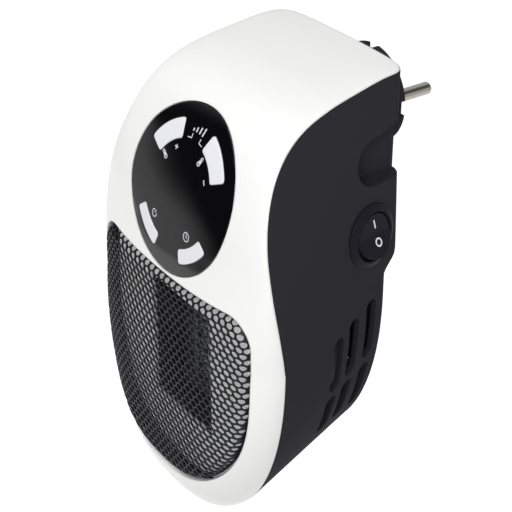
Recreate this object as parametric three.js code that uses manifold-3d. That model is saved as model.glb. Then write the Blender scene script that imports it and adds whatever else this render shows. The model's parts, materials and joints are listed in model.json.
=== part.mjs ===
// A plug-in fan heater: a gloss shell over a dark rear body, with a round control panel,
// a bulging wire-mesh outlet, a warm-air duct and fan inside, and a swivelling wall plug.
// Millimetres. +Z is up, +Y points at the wall, and the origin is the middle of the plug's face.
import * as THREE from "three";
import { mergeVertices } from "three/addons/utils/BufferGeometryUtils.js";
import Module from "manifold-3d";

const wasm = await Module();
wasm.setup();

// Housing sizes
const topHeight = 26.2;
const bottomDepth = 151;
const rearGap = 15.2;
const rimDepth = 83.1;
const rimBottomDepth = 80.2;
const rimHalfWidth = 56.5;
const rimTopHalfWidth = 40.5;
const rearHalfWidth = 37.6;
const rearTopHalfWidth = 35.4;
const rearBottomDepth = 135;
const rearStep = 5;
const rearStepTop = 44;
const rearStepRun = 9;
const widestDepth = 64;
const crownDepth = 18.4;
const shellWall = 2.6;
const bodyWall = 2.2;
const seamGap = 0.35;
const rearCornerRadius = 6;
const crownPower = 2.5;
const bottomPower = 8;
const fitGap = 0.3;
const overrun = 1;
const weld = 1e-4;
const roundSides = 24;
const panelSides = 32;
const postSides = 12;
const stemSides = 8;
const screwSides = 8;
const arcSteps = 3;
const segmentSteps = 3;
const cornerSteps = 3;
const holeSides = 6;
const grilleSteps = { top: 4, corner: 3, foot: 18 };
const panelReach = 13;
const upperRows = 11;
const lowerRows = 9;
const crownColumns = 14;

// Control panel and its buttons, measured on the panel's own plane
const panelSink = 1.025;
const panelDrop = 15;
const panelTilt = THREE.MathUtils.degToRad(68.7);
const panelRadius = 30.5;
const panelWall = 1.3;
const ledgeWidth = 2.4;
const buttonRise = 0.4;
const buttonTravel = 0.5;
const buttonFlange = 0.9;
const stemRadius = 1.7;
const upperButton = { inner: 17.6, outer: 25, span: THREE.MathUtils.degToRad(43) };
const lowerButton = { inner: 20.9, outer: 26.2, span: THREE.MathUtils.degToRad(37) };
const buttons = [
  { name: "warmer_button", shape: upperButton, turn: THREE.MathUtils.degToRad(132) },
  { name: "cooler_button", shape: upperButton, turn: THREE.MathUtils.degToRad(48) },
  { name: "power_button", shape: lowerButton, turn: THREE.MathUtils.degToRad(-126.5) },
  { name: "timer_button", shape: lowerButton, turn: THREE.MathUtils.degToRad(-53.5) },
];

// Control board behind the panel
const controlBoard = { height: 44, depth: 16, wall: 1.6 };
const controlPost = { offset: 1, radius: 2.6, margin: 2.5 };
const pushSwitch = { width: 6, height: 3.6, plungerRadius: 1.6, plungerHeight: 1 };
const display = { width: 25, height: 12, depth: 6, drop: 3 };

// Outlet grille, baffle and duct
const grille = {
  border: 8.3,
  topGap: 1.88,
  footBorder: 21.5,
  middleDrop: 8,
  cornerRadius: 11,
  sag: 2.2,
  power: 2.3,
};
const grilleWall = 0.9;
const grilleSink = 0.5;
const grilleFlange = 3;
const grillePitch = 10.2;
const grilleHoleRadius = 3.9;
const grilleBorder = 5.4;
const baffle = { setBack: 12.2, wall: 1.6 };
const duct = { halfWidth: 19.5, top: 58.6, height: 51.8, wall: 1.4, flange: 1.8 };
const fan = {
  size: 50,
  depth: 15,
  boreWall: 1.4,
  hubRadius: 10,
  bladeCount: 7,
  bladeWall: 1.2,
  corner: 3.6,
  air: 8.3,
};
const fanRotor = { tipGap: 1.2, depth: 11, cap: 1.2, twist: THREE.MathUtils.degToRad(38) };
const fanShaft = { radius: 1.5, gap: 0.25, tube: 3.2, air: 0.6 };
const fanArm = { count: 4, width: 3, wall: 2 };

// Heating element
const element = {
  standOff: 16,
  depth: 12,
  barCount: 3,
  barWidth: 2.4,
  holder: 4,
  finRun: 2.2,
  finPitch: 3.2,
  finSink: 0.5,
};
const cutout = { width: 12, setBack: 2, depth: 9, height: 4 };

// Rocker switch in the right side wall
const rockerPlace = { y: 32.6, z: 31.6 };
const rockerSwitch = { flangeRadius: 12, flange: 1.8, barrelRadius: 9.8, barrel: 13, bore: 8.95, floor: 2 };
const rocker = {
  radius: 8.6,
  hinge: 0.5,
  valley: 1.9,
  angle: THREE.MathUtils.degToRad(12),
  reach: 5.5,
  sides: 22,
  rings: 11,
};
const terminal = { width: 6.3, wall: 0.8, length: 7, spacing: 8 };

// Finger recesses
const grip = { middle: 29.2, drop: 5.2, radius: 8.8, postGap: 1, boardGap: 3, wall: 2, steps: 10 };

// Vent slots
const vent = {
  width: 5.7,
  places: [30.5, 40.7, 49.6],
  upperTops: [59.3, 62.1, 65.5],
  upperBottoms: [85.3, 87.4, 89.8],
  bridge: 3.1,
  lowerBottoms: [111.5, 110.8, 112.4],
  start: 25,
};
const rearSlot = { halfWidth: 20, height: 2.6, pitch: 6.4, count: 7, top: 62 };

// Wall plug
const plug = { radius: 19, face: 8.6, baseRadius: 17, neckRadius: 14, retainerRadius: 17.4, retainer: 2 };
const pin = { radius: 2.4, length: 19, spacing: 19, tail: 6, tip: 1.4, chamferShare: 0.8 };
const earth = { width: 4.6, wall: 0.7, notch: 3.2, length: 12, bow: 1.3, side: 2.6, sideWidth: 6 };
const retainerScrewZ = 11;

// Main board and its parts
const mainBoard = { sideGap: 0.6, top: 16, bottom: 20, standOff: 18.6, wall: 1.6 };
const mainPost = { margin: 3, edge: 4, radius: 2.6 };
const transformer = { width: 22, height: 17, depth: 15, side: 3, z: -6 };
const relay = { width: 15, height: 11, depth: 14, side: 6.5, z: -11 };
const capacitor = { radius: 4.6, length: 13, side: 7.8, z: 6 };

// Screws
const screw = {
  head: 2.8,
  headHeight: 1.9,
  shank: 1.3,
  length: 8,
  socket: 1.2,
  slot: 0.8,
  crownShare: 0.6,
  armShare: 0.62,
};
const casePost = {
  radius: 4.2,
  tipRadius: 3.2,
  joint: 52,
  floor: 4,
  counter: 3.1,
  side: 5.2,
  top: 12,
  foot: 14.4,
};
const pilotGap = 0.3;

// Leads
const lead = { radius: 1.1, gap: 0.6, bend: 2.4, sides: 6, steps: 9 };
const leadStarts = { plug: { x: 4, z: 3 }, board: 8, boardFan: 16, fan: 14 };
const leadRoutes = {
  plug_lead: [[4.6, -25.5, -4], [11, -32, -20]],
  switch_lead: [[12, -38, -31], [8, -37, -25]],
  heater_lead: [[-8, -37, -25], [-6, -50, -40], [0, -66, -46]],
  fan_lead: [[-16, -36.8, -25], [-15, -38, -40]],
};

// Places that follow from the sizes
const grilleHalf = rimHalfWidth - grille.border;
const grilleTop = panelDrop + panelRadius * Math.sin(panelTilt) + grille.topGap;
const grilleMiddle = widestDepth + grille.middleDrop;
const grilleBottom = bottomDepth - grille.footBorder;
const baffleDepth = rimBottomDepth + crownDepth - baffle.setBack;
const ductBottom = duct.top + duct.height;
const ductMiddle = -duct.top - duct.height / 2;
const fanBore = fan.size / 2 - fan.boreWall;
const bladeReach = fanBore - fanRotor.tipGap;
const ductRear = rearGap + rearStep + bodyWall + fan.air + fan.depth + fitGap;
const elementRear = ductRear + element.standOff;
const elementFront = elementRear + element.depth;
const controlPostX = panelRadius + controlPost.offset;
const controlBoardHalf = controlPostX + controlPost.margin;
const boardRear = rearGap + bodyWall + mainBoard.standOff;
const caseX = rearTopHalfWidth - casePost.side;
const caseZ = topHeight - casePost.top;
const casePlaces = [[caseX, caseZ], [-caseX, caseZ], [0, casePost.foot - bottomDepth]];
const boardHalf = caseX - casePost.radius - mainBoard.sideGap;
const mainPostX = boardHalf - mainPost.margin;
const gripFloor = boardHalf + grip.boardGap + grip.wall;
const gripTop = caseZ - casePost.radius - grip.wall - grip.postGap;

// The rim from the rear top edge down to its widest point.
// Each row: share of the rim's depth, share of the height above the widest point, share of the crown.
const rimShares = [
  [0, 0.986, 0.07],
  [0.166, 0.979, 0.08],
  [0.337, 0.958, 0.12],
  [0.518, 0.93, 0.15],
  [0.679, 0.886, 0.165],
  [0.794, 0.823, 0.17],
  [0.887, 0.731, 0.165],
  [0.954, 0.616, 0.18],
  [0.991, 0.494, 0.26],
  [1, 0.34, 0.4],
  [0.985, 0.17, 0.63],
  [0.957, 0, 0.82],
];

const shellTop = topHeight + widestDepth;
const rimRun = rimDepth - rearGap;
const rimCurve = new THREE.CatmullRomCurve3(
  rimShares.map(([depth, height, crown]) =>
    new THREE.Vector3(crown * crownDepth, -rearGap - depth * rimRun, -widestDepth + height * shellTop)),
  false,
  "centripetal",
);

const smooth = (u) => u * u * (3 - 2 * u);
const mix = (a, b, t) => a + (b - a) * t;
const clamp = (u) => Math.min(1, Math.max(0, u));

// How far the body's side stands out at a depth and a height.
function sideAt(y, z) {
  const back = (-rearGap - y) / (rimBottomDepth - rearGap);
  const upper = smooth(clamp((z + widestDepth) / shellTop));
  const atRear = mix(rearHalfWidth, rearTopHalfWidth, upper);
  const atRim = mix(rimHalfWidth, rimTopHalfWidth, upper);
  return mix(atRear, atRim, back);
}

// The depth of the rear wall, which steps forwards below the grip.
function rearAt(z) {
  return -rearGap - rearStep * smooth(clamp((-z - rearStepTop) / rearStepRun));
}

// How far the round rear corner takes the side in at a depth, seen from above.
function cornerAt(y) {
  const over = Math.max(0, y + rearGap + rearCornerRadius);
  return rearCornerRadius - Math.sqrt(Math.max(0, rearCornerRadius ** 2 - over ** 2));
}

// One row of the rim above its widest point: its half width, depth, height and crown.
function upperRow(share) {
  const p = rimCurve.getPointAt(share);
  return { w: sideAt(p.y, p.z) - cornerAt(p.y), y: p.y, z: p.z, crown: p.x, turn: 0 };
}

// One row of the rim below its widest point.
function lowerRow(k) {
  const angle = (k / lowerRows) * (Math.PI / 2);
  const down = Math.sin(angle);
  const grown = mix(rimShares.at(-1)[2], 1, 1 - (1 - down) ** 3);
  return {
    w: rimHalfWidth * Math.cos(angle),
    y: -rimBottomDepth,
    z: -widestDepth - (bottomDepth - widestDepth) * down,
    crown: crownDepth * grown * (1 - down ** bottomPower),
    turn: angle,
  };
}
const cornerRowShares = Array.from({ length: cornerSteps }, (_, k) =>
  (rearCornerRadius * (1 - Math.cos((k / cornerSteps) * (Math.PI / 2)))) / rimCurve.getLength());
const rows = [
  ...cornerRowShares.map(upperRow),
  upperRow(rearCornerRadius / rimCurve.getLength()),
  ...Array.from({ length: upperRows }, (_, k) => upperRow((k + 1) / upperRows)),
  ...Array.from({ length: lowerRows }, (_, k) => lowerRow(k + 1)),
];

// The outward direction of the rim at a row, in the plane of the side view.
function rimNormal(i) {
  if (rows[i].turn) return { y: -1, z: 0 };
  const a = rows[Math.max(0, i - 1)];
  const b = rows[i + 1];
  const long = Math.hypot(b.y - a.y, b.z - a.z);
  return { y: (b.z - a.z) / long, z: -(b.y - a.y) / long };
}

// The front surface as rows of points from the left rim to the right rim.
const frontGrid = rows.map((row, i) => {
  const out = rimNormal(i);
  return Array.from({ length: crownColumns + 1 }, (_, j) => {
    const a = Math.sin(((2 * j) / crownColumns - 1) * (Math.PI / 2));
    const rise = row.crown * Math.sqrt(Math.max(0, 1 - Math.abs(a) ** crownPower));
    return new THREE.Vector3(row.w * a, row.y + out.y * rise, row.z + out.z * rise);
  });
});

// How far forward the middle line of the front surface lies at a height.
function frontDepthAt(z) {
  const line = frontGrid.map((row) => row[crownColumns / 2]);
  const k = line.findIndex((p) => p.z < z);
  const share = (line[k - 1].z - z) / (line[k - 1].z - line[k].z);
  return -mix(line[k - 1].y, line[k].y, share);
}
const panelDepth = frontDepthAt(-panelDrop) - panelSink;

// The body's surface as rows of points from the left rim, round the back, to the right rim,
// moved inwards by a distance, with its front edge moved along the seam's own outward direction.
const sideShares = [0, 0.5];
function bodyGrid(inset, lift) {
  return rows.map((row, i) => {
    const out = rimNormal(i);
    const sink = Math.sin(row.turn);
    const across = Math.cos(row.turn);
    const z0 = row.z + out.z * lift + sink * inset;
    const zRear = row.turn ? -widestDepth - (rearBottomDepth - inset - widestDepth) * sink : z0;
    const yRear = rearAt(zRear) - inset;
    const y0 = Math.min(row.y + out.y * lift, yRear - seamGap);
    const w0 = row.turn ? (rimHalfWidth - inset) * across : row.w - inset;
    const wRear = row.turn ? (rearHalfWidth - inset) * across : sideAt(-rearGap, z0) - inset;
    const run = yRear - y0;
    const radius = Math.min(rearCornerRadius - Math.max(0, inset), wRear);
    const [middleX, middleY] = [wRear - radius, yRear - radius];
    const flare = mix(w0, wRear, clamp((middleY - y0) / run)) - wRear;
    const begin = Math.asin(clamp((y0 - middleY) / radius));
    const along = (share) => [mix(w0, wRear + flare, share), mix(y0, middleY, share)];
    const plan = begin ? [] : sideShares.map(along);
    const arcCount = sideShares.length + cornerSteps - plan.length;
    for (let k = 0; k <= arcCount; k++) {
      const angle = mix(begin, Math.PI / 2, k / arcCount);
      plan.push([middleX + (radius + flare) * Math.cos(angle), middleY + radius * Math.sin(angle)]);
    }
    plan.push([0, yRear]);
    const half = plan.map(([x, y]) => new THREE.Vector3(x, y, mix(z0, zRear, (y - y0) / run)));
    const left = half.map((p) => new THREE.Vector3(-p.x, p.y, p.z));
    return [...left, ...half.slice(0, -1).reverse()];
  });
}

// Each point's direction out of a grid, worked out from its neighbours.
function gridNormals(grid, facing) {
  const normals = grid.map((row, i) => row.map((p, j) => {
    const up = grid[Math.max(0, i - 1)][j];
    const down = grid[Math.min(grid.length - 1, i + 1)][j];
    const left = row[Math.max(0, j - 1)];
    const right = row[Math.min(row.length - 1, j + 1)];
    const rise = new THREE.Vector3().subVectors(up, down);
    const run = new THREE.Vector3().subVectors(right, left);
    return rise.cross(run).normalize().multiplyScalar(facing);
  }));
  const last = grid.length - 1;
  normals[last] = normals[last - 1].map((n) => new THREE.Vector3(0, n.y, n.z).normalize());
  return normals;
}
const frontNormals = gridNormals(frontGrid, -1);

// The front surface moved inwards by a distance; its lowest row stays one point.
function insetFront(depth) {
  const last = frontGrid.length - 1;
  return frontGrid.map((row, i) => row.map((p, j) => {
    if (i === last) return new THREE.Vector3(0, p.y, p.z + depth);
    return p.clone().addScaledVector(frontNormals[i][j], -depth);
  }));
}

// A closed geometry as a solid that faces out, with its meeting points joined.
function solidOf(geometry) {
  const loose = geometry.index ? geometry.toNonIndexed() : geometry.clone();
  loose.deleteAttribute("normal");
  loose.deleteAttribute("uv");
  const joined = mergeVertices(loose, weld);
  const kept = [];
  const index = joined.index.array;
  for (let k = 0; k < index.length; k += 3) {
    const [a, b, c] = [index[k], index[k + 1], index[k + 2]];
    if (a !== b && b !== c && c !== a) kept.push(a, b, c);
  }
  const build = (order) => new wasm.Manifold(new wasm.Mesh({
    numProp: 3,
    vertProperties: joined.attributes.position.array,
    triVerts: new Uint32Array(order),
  }));
  const made = build(kept);
  return made.volume() < 0 ? build(kept.reverse()) : made;
}

// The closed solid between two grids of the same rows and columns.
function gridSolid(outer, inner) {
  const points = [];
  const quad = (a, b, c, d) => points.push(a, b, c, b, d, c);
  const lastRow = outer.length - 1;
  const lastColumn = outer[0].length - 1;
  for (let i = 0; i < lastRow; i++) {
    for (let j = 0; j < lastColumn; j++) {
      quad(outer[i][j], outer[i + 1][j], outer[i][j + 1], outer[i + 1][j + 1]);
      quad(inner[i][j], inner[i][j + 1], inner[i + 1][j], inner[i + 1][j + 1]);
    }
    quad(outer[i][0], inner[i][0], outer[i + 1][0], inner[i + 1][0]);
    quad(outer[i][lastColumn], outer[i + 1][lastColumn], inner[i][lastColumn], inner[i + 1][lastColumn]);
  }
  for (let j = 0; j < lastColumn; j++) {
    quad(outer[0][j], outer[0][j + 1], inner[0][j], inner[0][j + 1]);
  }
  return solidOf(new THREE.BufferGeometry().setFromPoints(points));
}

const flatten = (grid, y) => grid.map((row) => row.map((p) => new THREE.Vector3(p.x, y, p.z)));
const layer = (from, to) => gridSolid(insetFront(from), insetFront(to));
const behindFront = (depth) => gridSolid(insetFront(depth), flatten(insetFront(depth), 0));
const seamSide = (grid) => grid.map((row) =>
  row.map((p, j) => row[0].clone().lerp(row.at(-1), j / (row.length - 1))));
function bodySolid(inset, lift) {
  const grid = bodyGrid(inset, lift);
  return gridSolid(grid, seamSide(grid));
}

const joinAll = (solids) => solids.reduce((sum, part) => sum.add(part));
const cutAll = (solid, cuts) => cuts.reduce((rest, part) => rest.subtract(part), solid);

// Basic shapes. A rod runs along Z between two heights.
function rod(radius, from, to, sides = roundSides) {
  return new THREE.CylinderGeometry(radius, radius, to - from, sides)
    .rotateX(Math.PI / 2)
    .translate(0, 0, (from + to) / 2);
}
const alongY = (geometry) => geometry.rotateX(-Math.PI / 2);
const rodY = (radius, from, to, x, z, sides = roundSides) =>
  solidOf(alongY(rod(radius, from, to, sides)).translate(x, 0, z));
function block(x0, x1, y0, y1, z0, z1) {
  return new THREE.BoxGeometry(Math.abs(x1 - x0), Math.abs(y1 - y0), Math.abs(z1 - z0))
    .translate((x0 + x1) / 2, (y0 + y1) / 2, (z0 + z1) / 2);
}
const box = (...sizes) => solidOf(block(...sizes));

// A flat outline in X and Z pushed through from one depth to another.
function prismY(shape, from, to) {
  return solidOf(new THREE.ExtrudeGeometry(shape, {
    depth: to - from,
    bevelEnabled: false,
    curveSegments: arcSteps,
  }).rotateX(Math.PI / 2).translate(0, to, 0));
}
// A flat outline in Y and Z pushed through from one X to another.
function prismX(shape, from, to) {
  return solidOf(new THREE.ExtrudeGeometry(shape, {
    depth: to - from,
    bevelEnabled: false,
    curveSegments: arcSteps,
  }).rotateX(Math.PI / 2).rotateZ(Math.PI / 2).translate(from, 0, 0));
}

// A screw with a slot: its head sits on Z zero and its shank runs down.
function screwGeometry(length, sides = screwSides) {
  const profile = [
    [0, screw.headHeight],
    [screw.head * screw.crownShare, screw.headHeight],
    [screw.head, screw.headHeight * screw.crownShare],
    [screw.head, 0],
    [screw.shank, 0],
    [screw.shank, -length],
    [0, -length],
  ].map(([x, y]) => new THREE.Vector2(x, y));
  return new THREE.LatheGeometry(profile, sides).rotateX(Math.PI / 2);
}
function screwSolid(length) {
  const deep = screw.headHeight - screw.socket;
  const arm = screw.head * screw.armShare;
  const thin = screw.slot / 2;
  const slit = box(-arm, arm, -thin, thin, deep, screw.headHeight + overrun);
  return solidOf(screwGeometry(length)).subtract(slit);
}

// A screw driven forwards from the rear, or backwards from the front, with its head's seat at a depth.
const rearScrew = (length, x, y, z) =>
  solidOf(geometryOf(screwSolid(length)).rotateX(-Math.PI / 2).translate(x, y, z));
const frontScrew = (length, x, y, z) =>
  solidOf(geometryOf(screwSolid(length)).rotateX(Math.PI / 2).translate(x, y, z));

const heater = new THREE.Group();
const finish = (color, roughness, metalness = 0) =>
  new THREE.MeshStandardMaterial({ color, roughness, metalness });
const looks = {
  glossWhite: finish(0xf1f1ef, 0.18),
  mattBlack: finish(0x2b2a2e, 0.55),
  glossBlack: finish(0x08080b, 0.06),
  buttonGrey: finish(0xdcdce3, 0.3),
  grilleBlack: finish(0x1b1b1e, 0.5, 0.3),
  whitePlastic: finish(0xe9e9e6, 0.5),
  darkPlastic: finish(0x141416, 0.6),
  steel: finish(0xbfb8b0, 0.25, 1),
  brass: finish(0xb08d4a, 0.35, 1),
  aluminium: finish(0x9a9ca0, 0.4, 1),
  ceramic: finish(0x4a4642, 0.8),
  board: finish(0x2d5a34, 0.5),
  copper: finish(0xa2643a, 0.4, 1),
  yellow: finish(0xd0a92a, 0.6),
  leadRed: finish(0xa32020, 0.5),
};
function geometryOf(body) {
  const made = body.getMesh();
  return new THREE.BufferGeometry()
    .setAttribute("position", new THREE.BufferAttribute(new Float32Array(made.vertProperties), made.numProp))
    .setIndex(new THREE.BufferAttribute(new Uint32Array(made.triVerts), 1));
}
function add(name, body, look) {
  const geometry = geometryOf(body);
  geometry.computeVertexNormals();
  const mesh = new THREE.Mesh(geometry, look);
  mesh.name = name;
  heater.add(mesh);
}

// The panel's own frame: X across, Y up the slope, Z out of the panel.
const onPanel = (geometry) => geometry.rotateX(panelTilt).translate(0, -panelDepth, -panelDrop);
const panelRod = (radius, from, to, x = 0, y = 0, sides = panelSides) =>
  solidOf(onPanel(rod(radius, from, to, sides).translate(x, y, 0)));

// A ring segment on the panel, as wide as its button plus a margin all round.
function segment({ inner, outer, span }, turn, grow) {
  const half = span / 2 + grow / ((inner + outer) / 2);
  const shape = new THREE.Shape();
  shape.absarc(0, 0, outer + grow, turn - half, turn + half, false);
  shape.absarc(0, 0, inner - grow, turn + half, turn - half, true);
  return solidOf(onPanel(new THREE.ExtrudeGeometry(shape, {
    depth: 2 * panelReach,
    bevelEnabled: false,
    curveSegments: segmentSteps,
  }).translate(0, 0, -panelReach)));
}

// The grille's outline, grown by a margin: a drooping top edge, round corners and a deep round foot.
function grilleOutline(grow) {
  const points = [];
  const wide = grilleHalf + grow;
  const corner = grille.cornerRadius + grow;
  const top = -grilleTop + grow;
  const straight = grilleHalf - grille.cornerRadius;
  for (let k = 0; k <= grilleSteps.top; k++) {
    const x = straight * (1 - (2 * k) / grilleSteps.top);
    points.push([x, top - grille.sag * (1 - (x / straight) ** 2)]);
  }
  for (let k = 1; k <= grilleSteps.corner; k++) {
    const turn = Math.PI / 2 + (k / grilleSteps.corner) * (Math.PI / 2);
    points.push([-straight + corner * Math.cos(turn), top - corner + corner * Math.sin(turn)]);
  }
  const foot = grilleBottom - grilleMiddle + grow;
  for (let k = 0; k <= grilleSteps.foot; k++) {
    const turn = Math.PI + (k / grilleSteps.foot) * Math.PI;
    const c = Math.cos(turn);
    const s = Math.sin(turn);
    points.push([
      wide * Math.sign(c) * Math.abs(c) ** (2 / grille.power),
      -grilleMiddle - foot * Math.abs(s) ** (2 / grille.power),
    ]);
  }
  for (let k = 0; k < grilleSteps.corner; k++) {
    const turn = (k / grilleSteps.corner) * (Math.PI / 2);
    points.push([straight + corner * Math.cos(turn), top - corner + corner * Math.sin(turn)]);
  }
  return points.map(([x, z]) => new THREE.Vector2(x, z));
}
const grilleCut = (grow) => prismY(new THREE.Shape(grilleOutline(grow)), -2 * rimDepth, -ductRear);

// How far inside an outline a point lies, or a negative number outside it.
function insideBy(outline, x, z) {
  let nearest = Infinity;
  let inside = false;
  outline.forEach((a, k) => {
    const b = outline[(k + 1) % outline.length];
    const along = b.clone().sub(a);
    const t = clamp(((x - a.x) * along.x + (z - a.y) * along.y) / along.lengthSq());
    nearest = Math.min(nearest, Math.hypot(a.x + along.x * t - x, a.y + along.y * t - z));
    if ((a.y > z) !== (b.y > z) && x < a.x + ((z - a.y) / (b.y - a.y)) * (b.x - a.x)) inside = !inside;
  });
  return inside ? nearest : -nearest;
}

// The switch's frame on the right side wall: X to the rear, Y up, Z out of the wall.
function switchFrame() {
  const y = -rockerPlace.y;
  const z = -rockerPlace.z;
  const step = fitGap;
  const slopeY = (sideAt(y + step, z) - sideAt(y - step, z)) / (2 * step);
  const slopeZ = (sideAt(y, z + step) - sideAt(y, z - step)) / (2 * step);
  const out = new THREE.Vector3(1, -slopeY, -slopeZ).normalize();
  const back = new THREE.Vector3(0, 0, 1).cross(out).normalize();
  const up = out.clone().cross(back);
  return new THREE.Matrix4().makeBasis(back, up, out).setPosition(sideAt(y, z), y, z);
}
const switchPlace = switchFrame();
const onSwitch = (geometry) => solidOf(geometry.applyMatrix4(switchPlace));

// Front shell
const grilleSeat = shellWall + fitGap;
const postDepth = -(controlBoard.depth - fitGap);
const caseTip = (x, z) => rodY(casePost.tipRadius, -2 * rimDepth, -casePost.joint - fitGap, x, z, postSides);
const controlPosts = [-1, 1].map((side) =>
  panelRod(controlPost.radius, postDepth, panelReach, side * controlPostX, 0, postSides));
const frontPosts = joinAll([...casePlaces.map(([x, z]) => caseTip(x, z)), ...controlPosts])
  .intersect(behindFront(shellWall / 2));
const pilot = screw.shank + pilotGap;
const behindSeam = new THREE.Shape([
  new THREE.Vector2(overrun, rows[0].z),
  ...rows.map(({ y, z }) => new THREE.Vector2(y, z)),
  new THREE.Vector2(rows.at(-1).y, -bottomDepth - overrun),
  new THREE.Vector2(overrun, -bottomDepth - overrun),
]);
const bodyWallRegion = prismX(behindSeam, -2 * rimHalfWidth, 2 * rimHalfWidth)
  .subtract(bodySolid(bodyWall + fitGap, overrun));
const frontShell = cutAll(layer(0, shellWall), [
  bodyWallRegion,
  layer(-overrun, panelWall + fitGap).intersect(panelRod(panelRadius + fitGap, -panelReach, panelReach)),
  panelRod(panelRadius - ledgeWidth, -panelReach, panelReach),
  grilleCut(0),
]).add(frontPosts);
const casePilotEnd = -casePost.joint - screw.length - overrun;
add("front_shell", cutAll(frontShell, [
  ...casePlaces.map(([x, z]) => rodY(pilot, casePilotEnd, -casePost.joint, x, z, screwSides)),
  ...[-1, 1].map((side) =>
    panelRod(pilot, postDepth - overrun, postDepth + screw.length, side * controlPostX, 0, screwSides)),
]), looks.glossWhite);

// Control panel and buttons
const panelBlank = layer(0, panelWall).intersect(panelRod(panelRadius, -panelReach, panelReach));
add("control_panel", cutAll(panelBlank, buttons.map(({ shape, turn }) => segment(shape, turn, fitGap))),
  looks.glossBlack);
const flangeTop = panelWall + fitGap;
const flangeBottom = flangeTop + buttonFlange;
const plungerTop = -controlBoard.depth + fitGap + pushSwitch.height + pushSwitch.plungerHeight;
for (const { name, shape, turn } of buttons) {
  const middle = (shape.inner + shape.outer) / 2;
  const [x, y] = [middle * Math.cos(turn), middle * Math.sin(turn)];
  const stem = panelRod(stemRadius, plungerTop + buttonTravel + fitGap, panelReach, x, y, stemSides)
    .intersect(behindFront(flangeTop));
  add(name, joinAll([
    layer(-buttonRise, flangeBottom).intersect(segment(shape, turn, 0)),
    layer(flangeTop, flangeBottom).intersect(segment(shape, turn, buttonFlange)),
    stem,
  ]), looks.buttonGrey);
  const base = -controlBoard.depth + fitGap;
  const half = pushSwitch.width / 2;
  const top = base + pushSwitch.height;
  const pushBody = solidOf(onPanel(block(x - half, x + half, y - half, y + half, base, top)));
  const plunger = panelRod(pushSwitch.plungerRadius, base, plungerTop, x, y, stemSides);
  add(name.replace("button", "push_switch"), pushBody.add(plunger), looks.darkPlastic);
}

// Control board and number display
const boardBack = -controlBoard.depth - controlBoard.wall;
const controlHoles = [-1, 1].map((side) =>
  panelRod(pilot, boardBack - overrun, -controlBoard.depth + overrun, side * controlPostX, 0, screwSides));
add("control_board", cutAll(solidOf(onPanel(block(
  -controlBoardHalf, controlBoardHalf,
  -controlBoard.height / 2, controlBoard.height / 2,
  boardBack, -controlBoard.depth,
))), controlHoles), looks.board);
const displayBase = -controlBoard.depth + fitGap;
add("number_display", solidOf(onPanel(block(
  -display.width / 2, display.width / 2,
  -display.drop - display.height / 2, -display.drop + display.height / 2,
  displayBase, displayBase + display.depth,
))), looks.darkPlastic);
[-1, 1].forEach((side, k) => {
  const geometry = geometryOf(screwSolid(screw.length)).rotateX(Math.PI);
  const placed = onPanel(geometry.translate(side * controlPostX, 0, boardBack - fitGap));
  add(`control_screw_${k + 1}`, solidOf(placed), looks.steel);
});

// Outlet grille
const grilleRim = grilleCut(-fitGap).subtract(grilleCut(-fitGap - grilleWall));
const grilleSheet = layer(grilleSink, grilleSink + grilleWall).intersect(grilleCut(-fitGap));
const grilleSkirt = layer(grilleSink, grilleSeat + grilleWall).intersect(grilleRim);
const grilleLip = layer(grilleSeat, grilleSeat + grilleWall)
  .intersect(grilleCut(grilleFlange).subtract(grilleCut(-fitGap - grilleWall)));
const outline = grilleOutline(0);
const holes = [];
const columnPitch = grillePitch * Math.sin(Math.PI / 3);
const columnCount = Math.floor(grilleHalf / columnPitch);
for (let c = -columnCount; c <= columnCount; c++) {
  const shift = c % 2 ? grillePitch / 2 : 0;
  for (let z = -grilleTop - shift; z > -grilleBottom; z -= grillePitch) {
    const x = c * columnPitch;
    if (insideBy(outline, x, z) < grilleBorder) continue;
    const hole = new THREE.Shape();
    for (let k = 0; k < holeSides; k++) {
      const turn = ((k + 1 / 2) / holeSides) * 2 * Math.PI;
      const [acrossHole, upHole] = [Math.cos(turn), Math.sin(turn)].map((way) => way * grilleHoleRadius);
      hole[k ? "lineTo" : "moveTo"](x + acrossHole, z + upHole);
    }
    holes.push(hole);
  }
}
add("outlet_grille", joinAll([grilleSheet, grilleSkirt, grilleLip])
  .subtract(prismY(holes, -2 * rimDepth, -baffleDepth)), looks.grilleBlack);

// Outlet baffle, behind the grille, with the duct's mouth in it
const baffleBack = -baffleDepth + baffle.wall;
add("outlet_baffle", cutAll(
  prismY(new THREE.Shape(grilleOutline(grilleFlange)), -baffleDepth, baffleBack)
    .intersect(behindFront(grilleSeat + grilleWall + fitGap)),
  [
    box(-duct.halfWidth, duct.halfWidth, -baffleDepth - overrun, baffleBack + overrun,
      -duct.top, -ductBottom),
    ...casePlaces.map(([x, z]) =>
      rodY(casePost.tipRadius + fitGap, -baffleDepth - overrun, baffleBack + overrun, x, z, postSides)),
  ],
), looks.whitePlastic);

// Heater duct: a square tube with a rim at its mouth and a round opening for the fan
const ductFront = baffleBack + fitGap;
const outer = duct.halfWidth + duct.wall;
const rim = outer + duct.flange;
add("heater_duct", cutAll(joinAll([
  box(-outer, outer, ductFront, -ductRear, -duct.top + duct.wall, -ductBottom - duct.wall),
  box(-rim, rim, ductFront, ductFront + duct.flange, -duct.top + duct.wall + duct.flange,
    -ductBottom - duct.wall - duct.flange),
  box(-fan.size / 2, fan.size / 2, -ductRear - duct.flange, -ductRear,
    ductMiddle - fan.size / 2, ductMiddle + fan.size / 2),
]), [
  box(-duct.halfWidth, duct.halfWidth, ductFront - overrun, -ductRear - duct.flange,
    -duct.top, -ductBottom),
  rodY(fanBore, -ductRear - duct.flange - overrun, -ductRear + overrun, 0, ductMiddle),
  ...fanScrewPlaces().map(([x, z]) =>
    rodY(pilot, -ductRear - duct.flange - overrun, -ductRear + overrun, x, z, screwSides)),
]), looks.darkPlastic);

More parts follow.
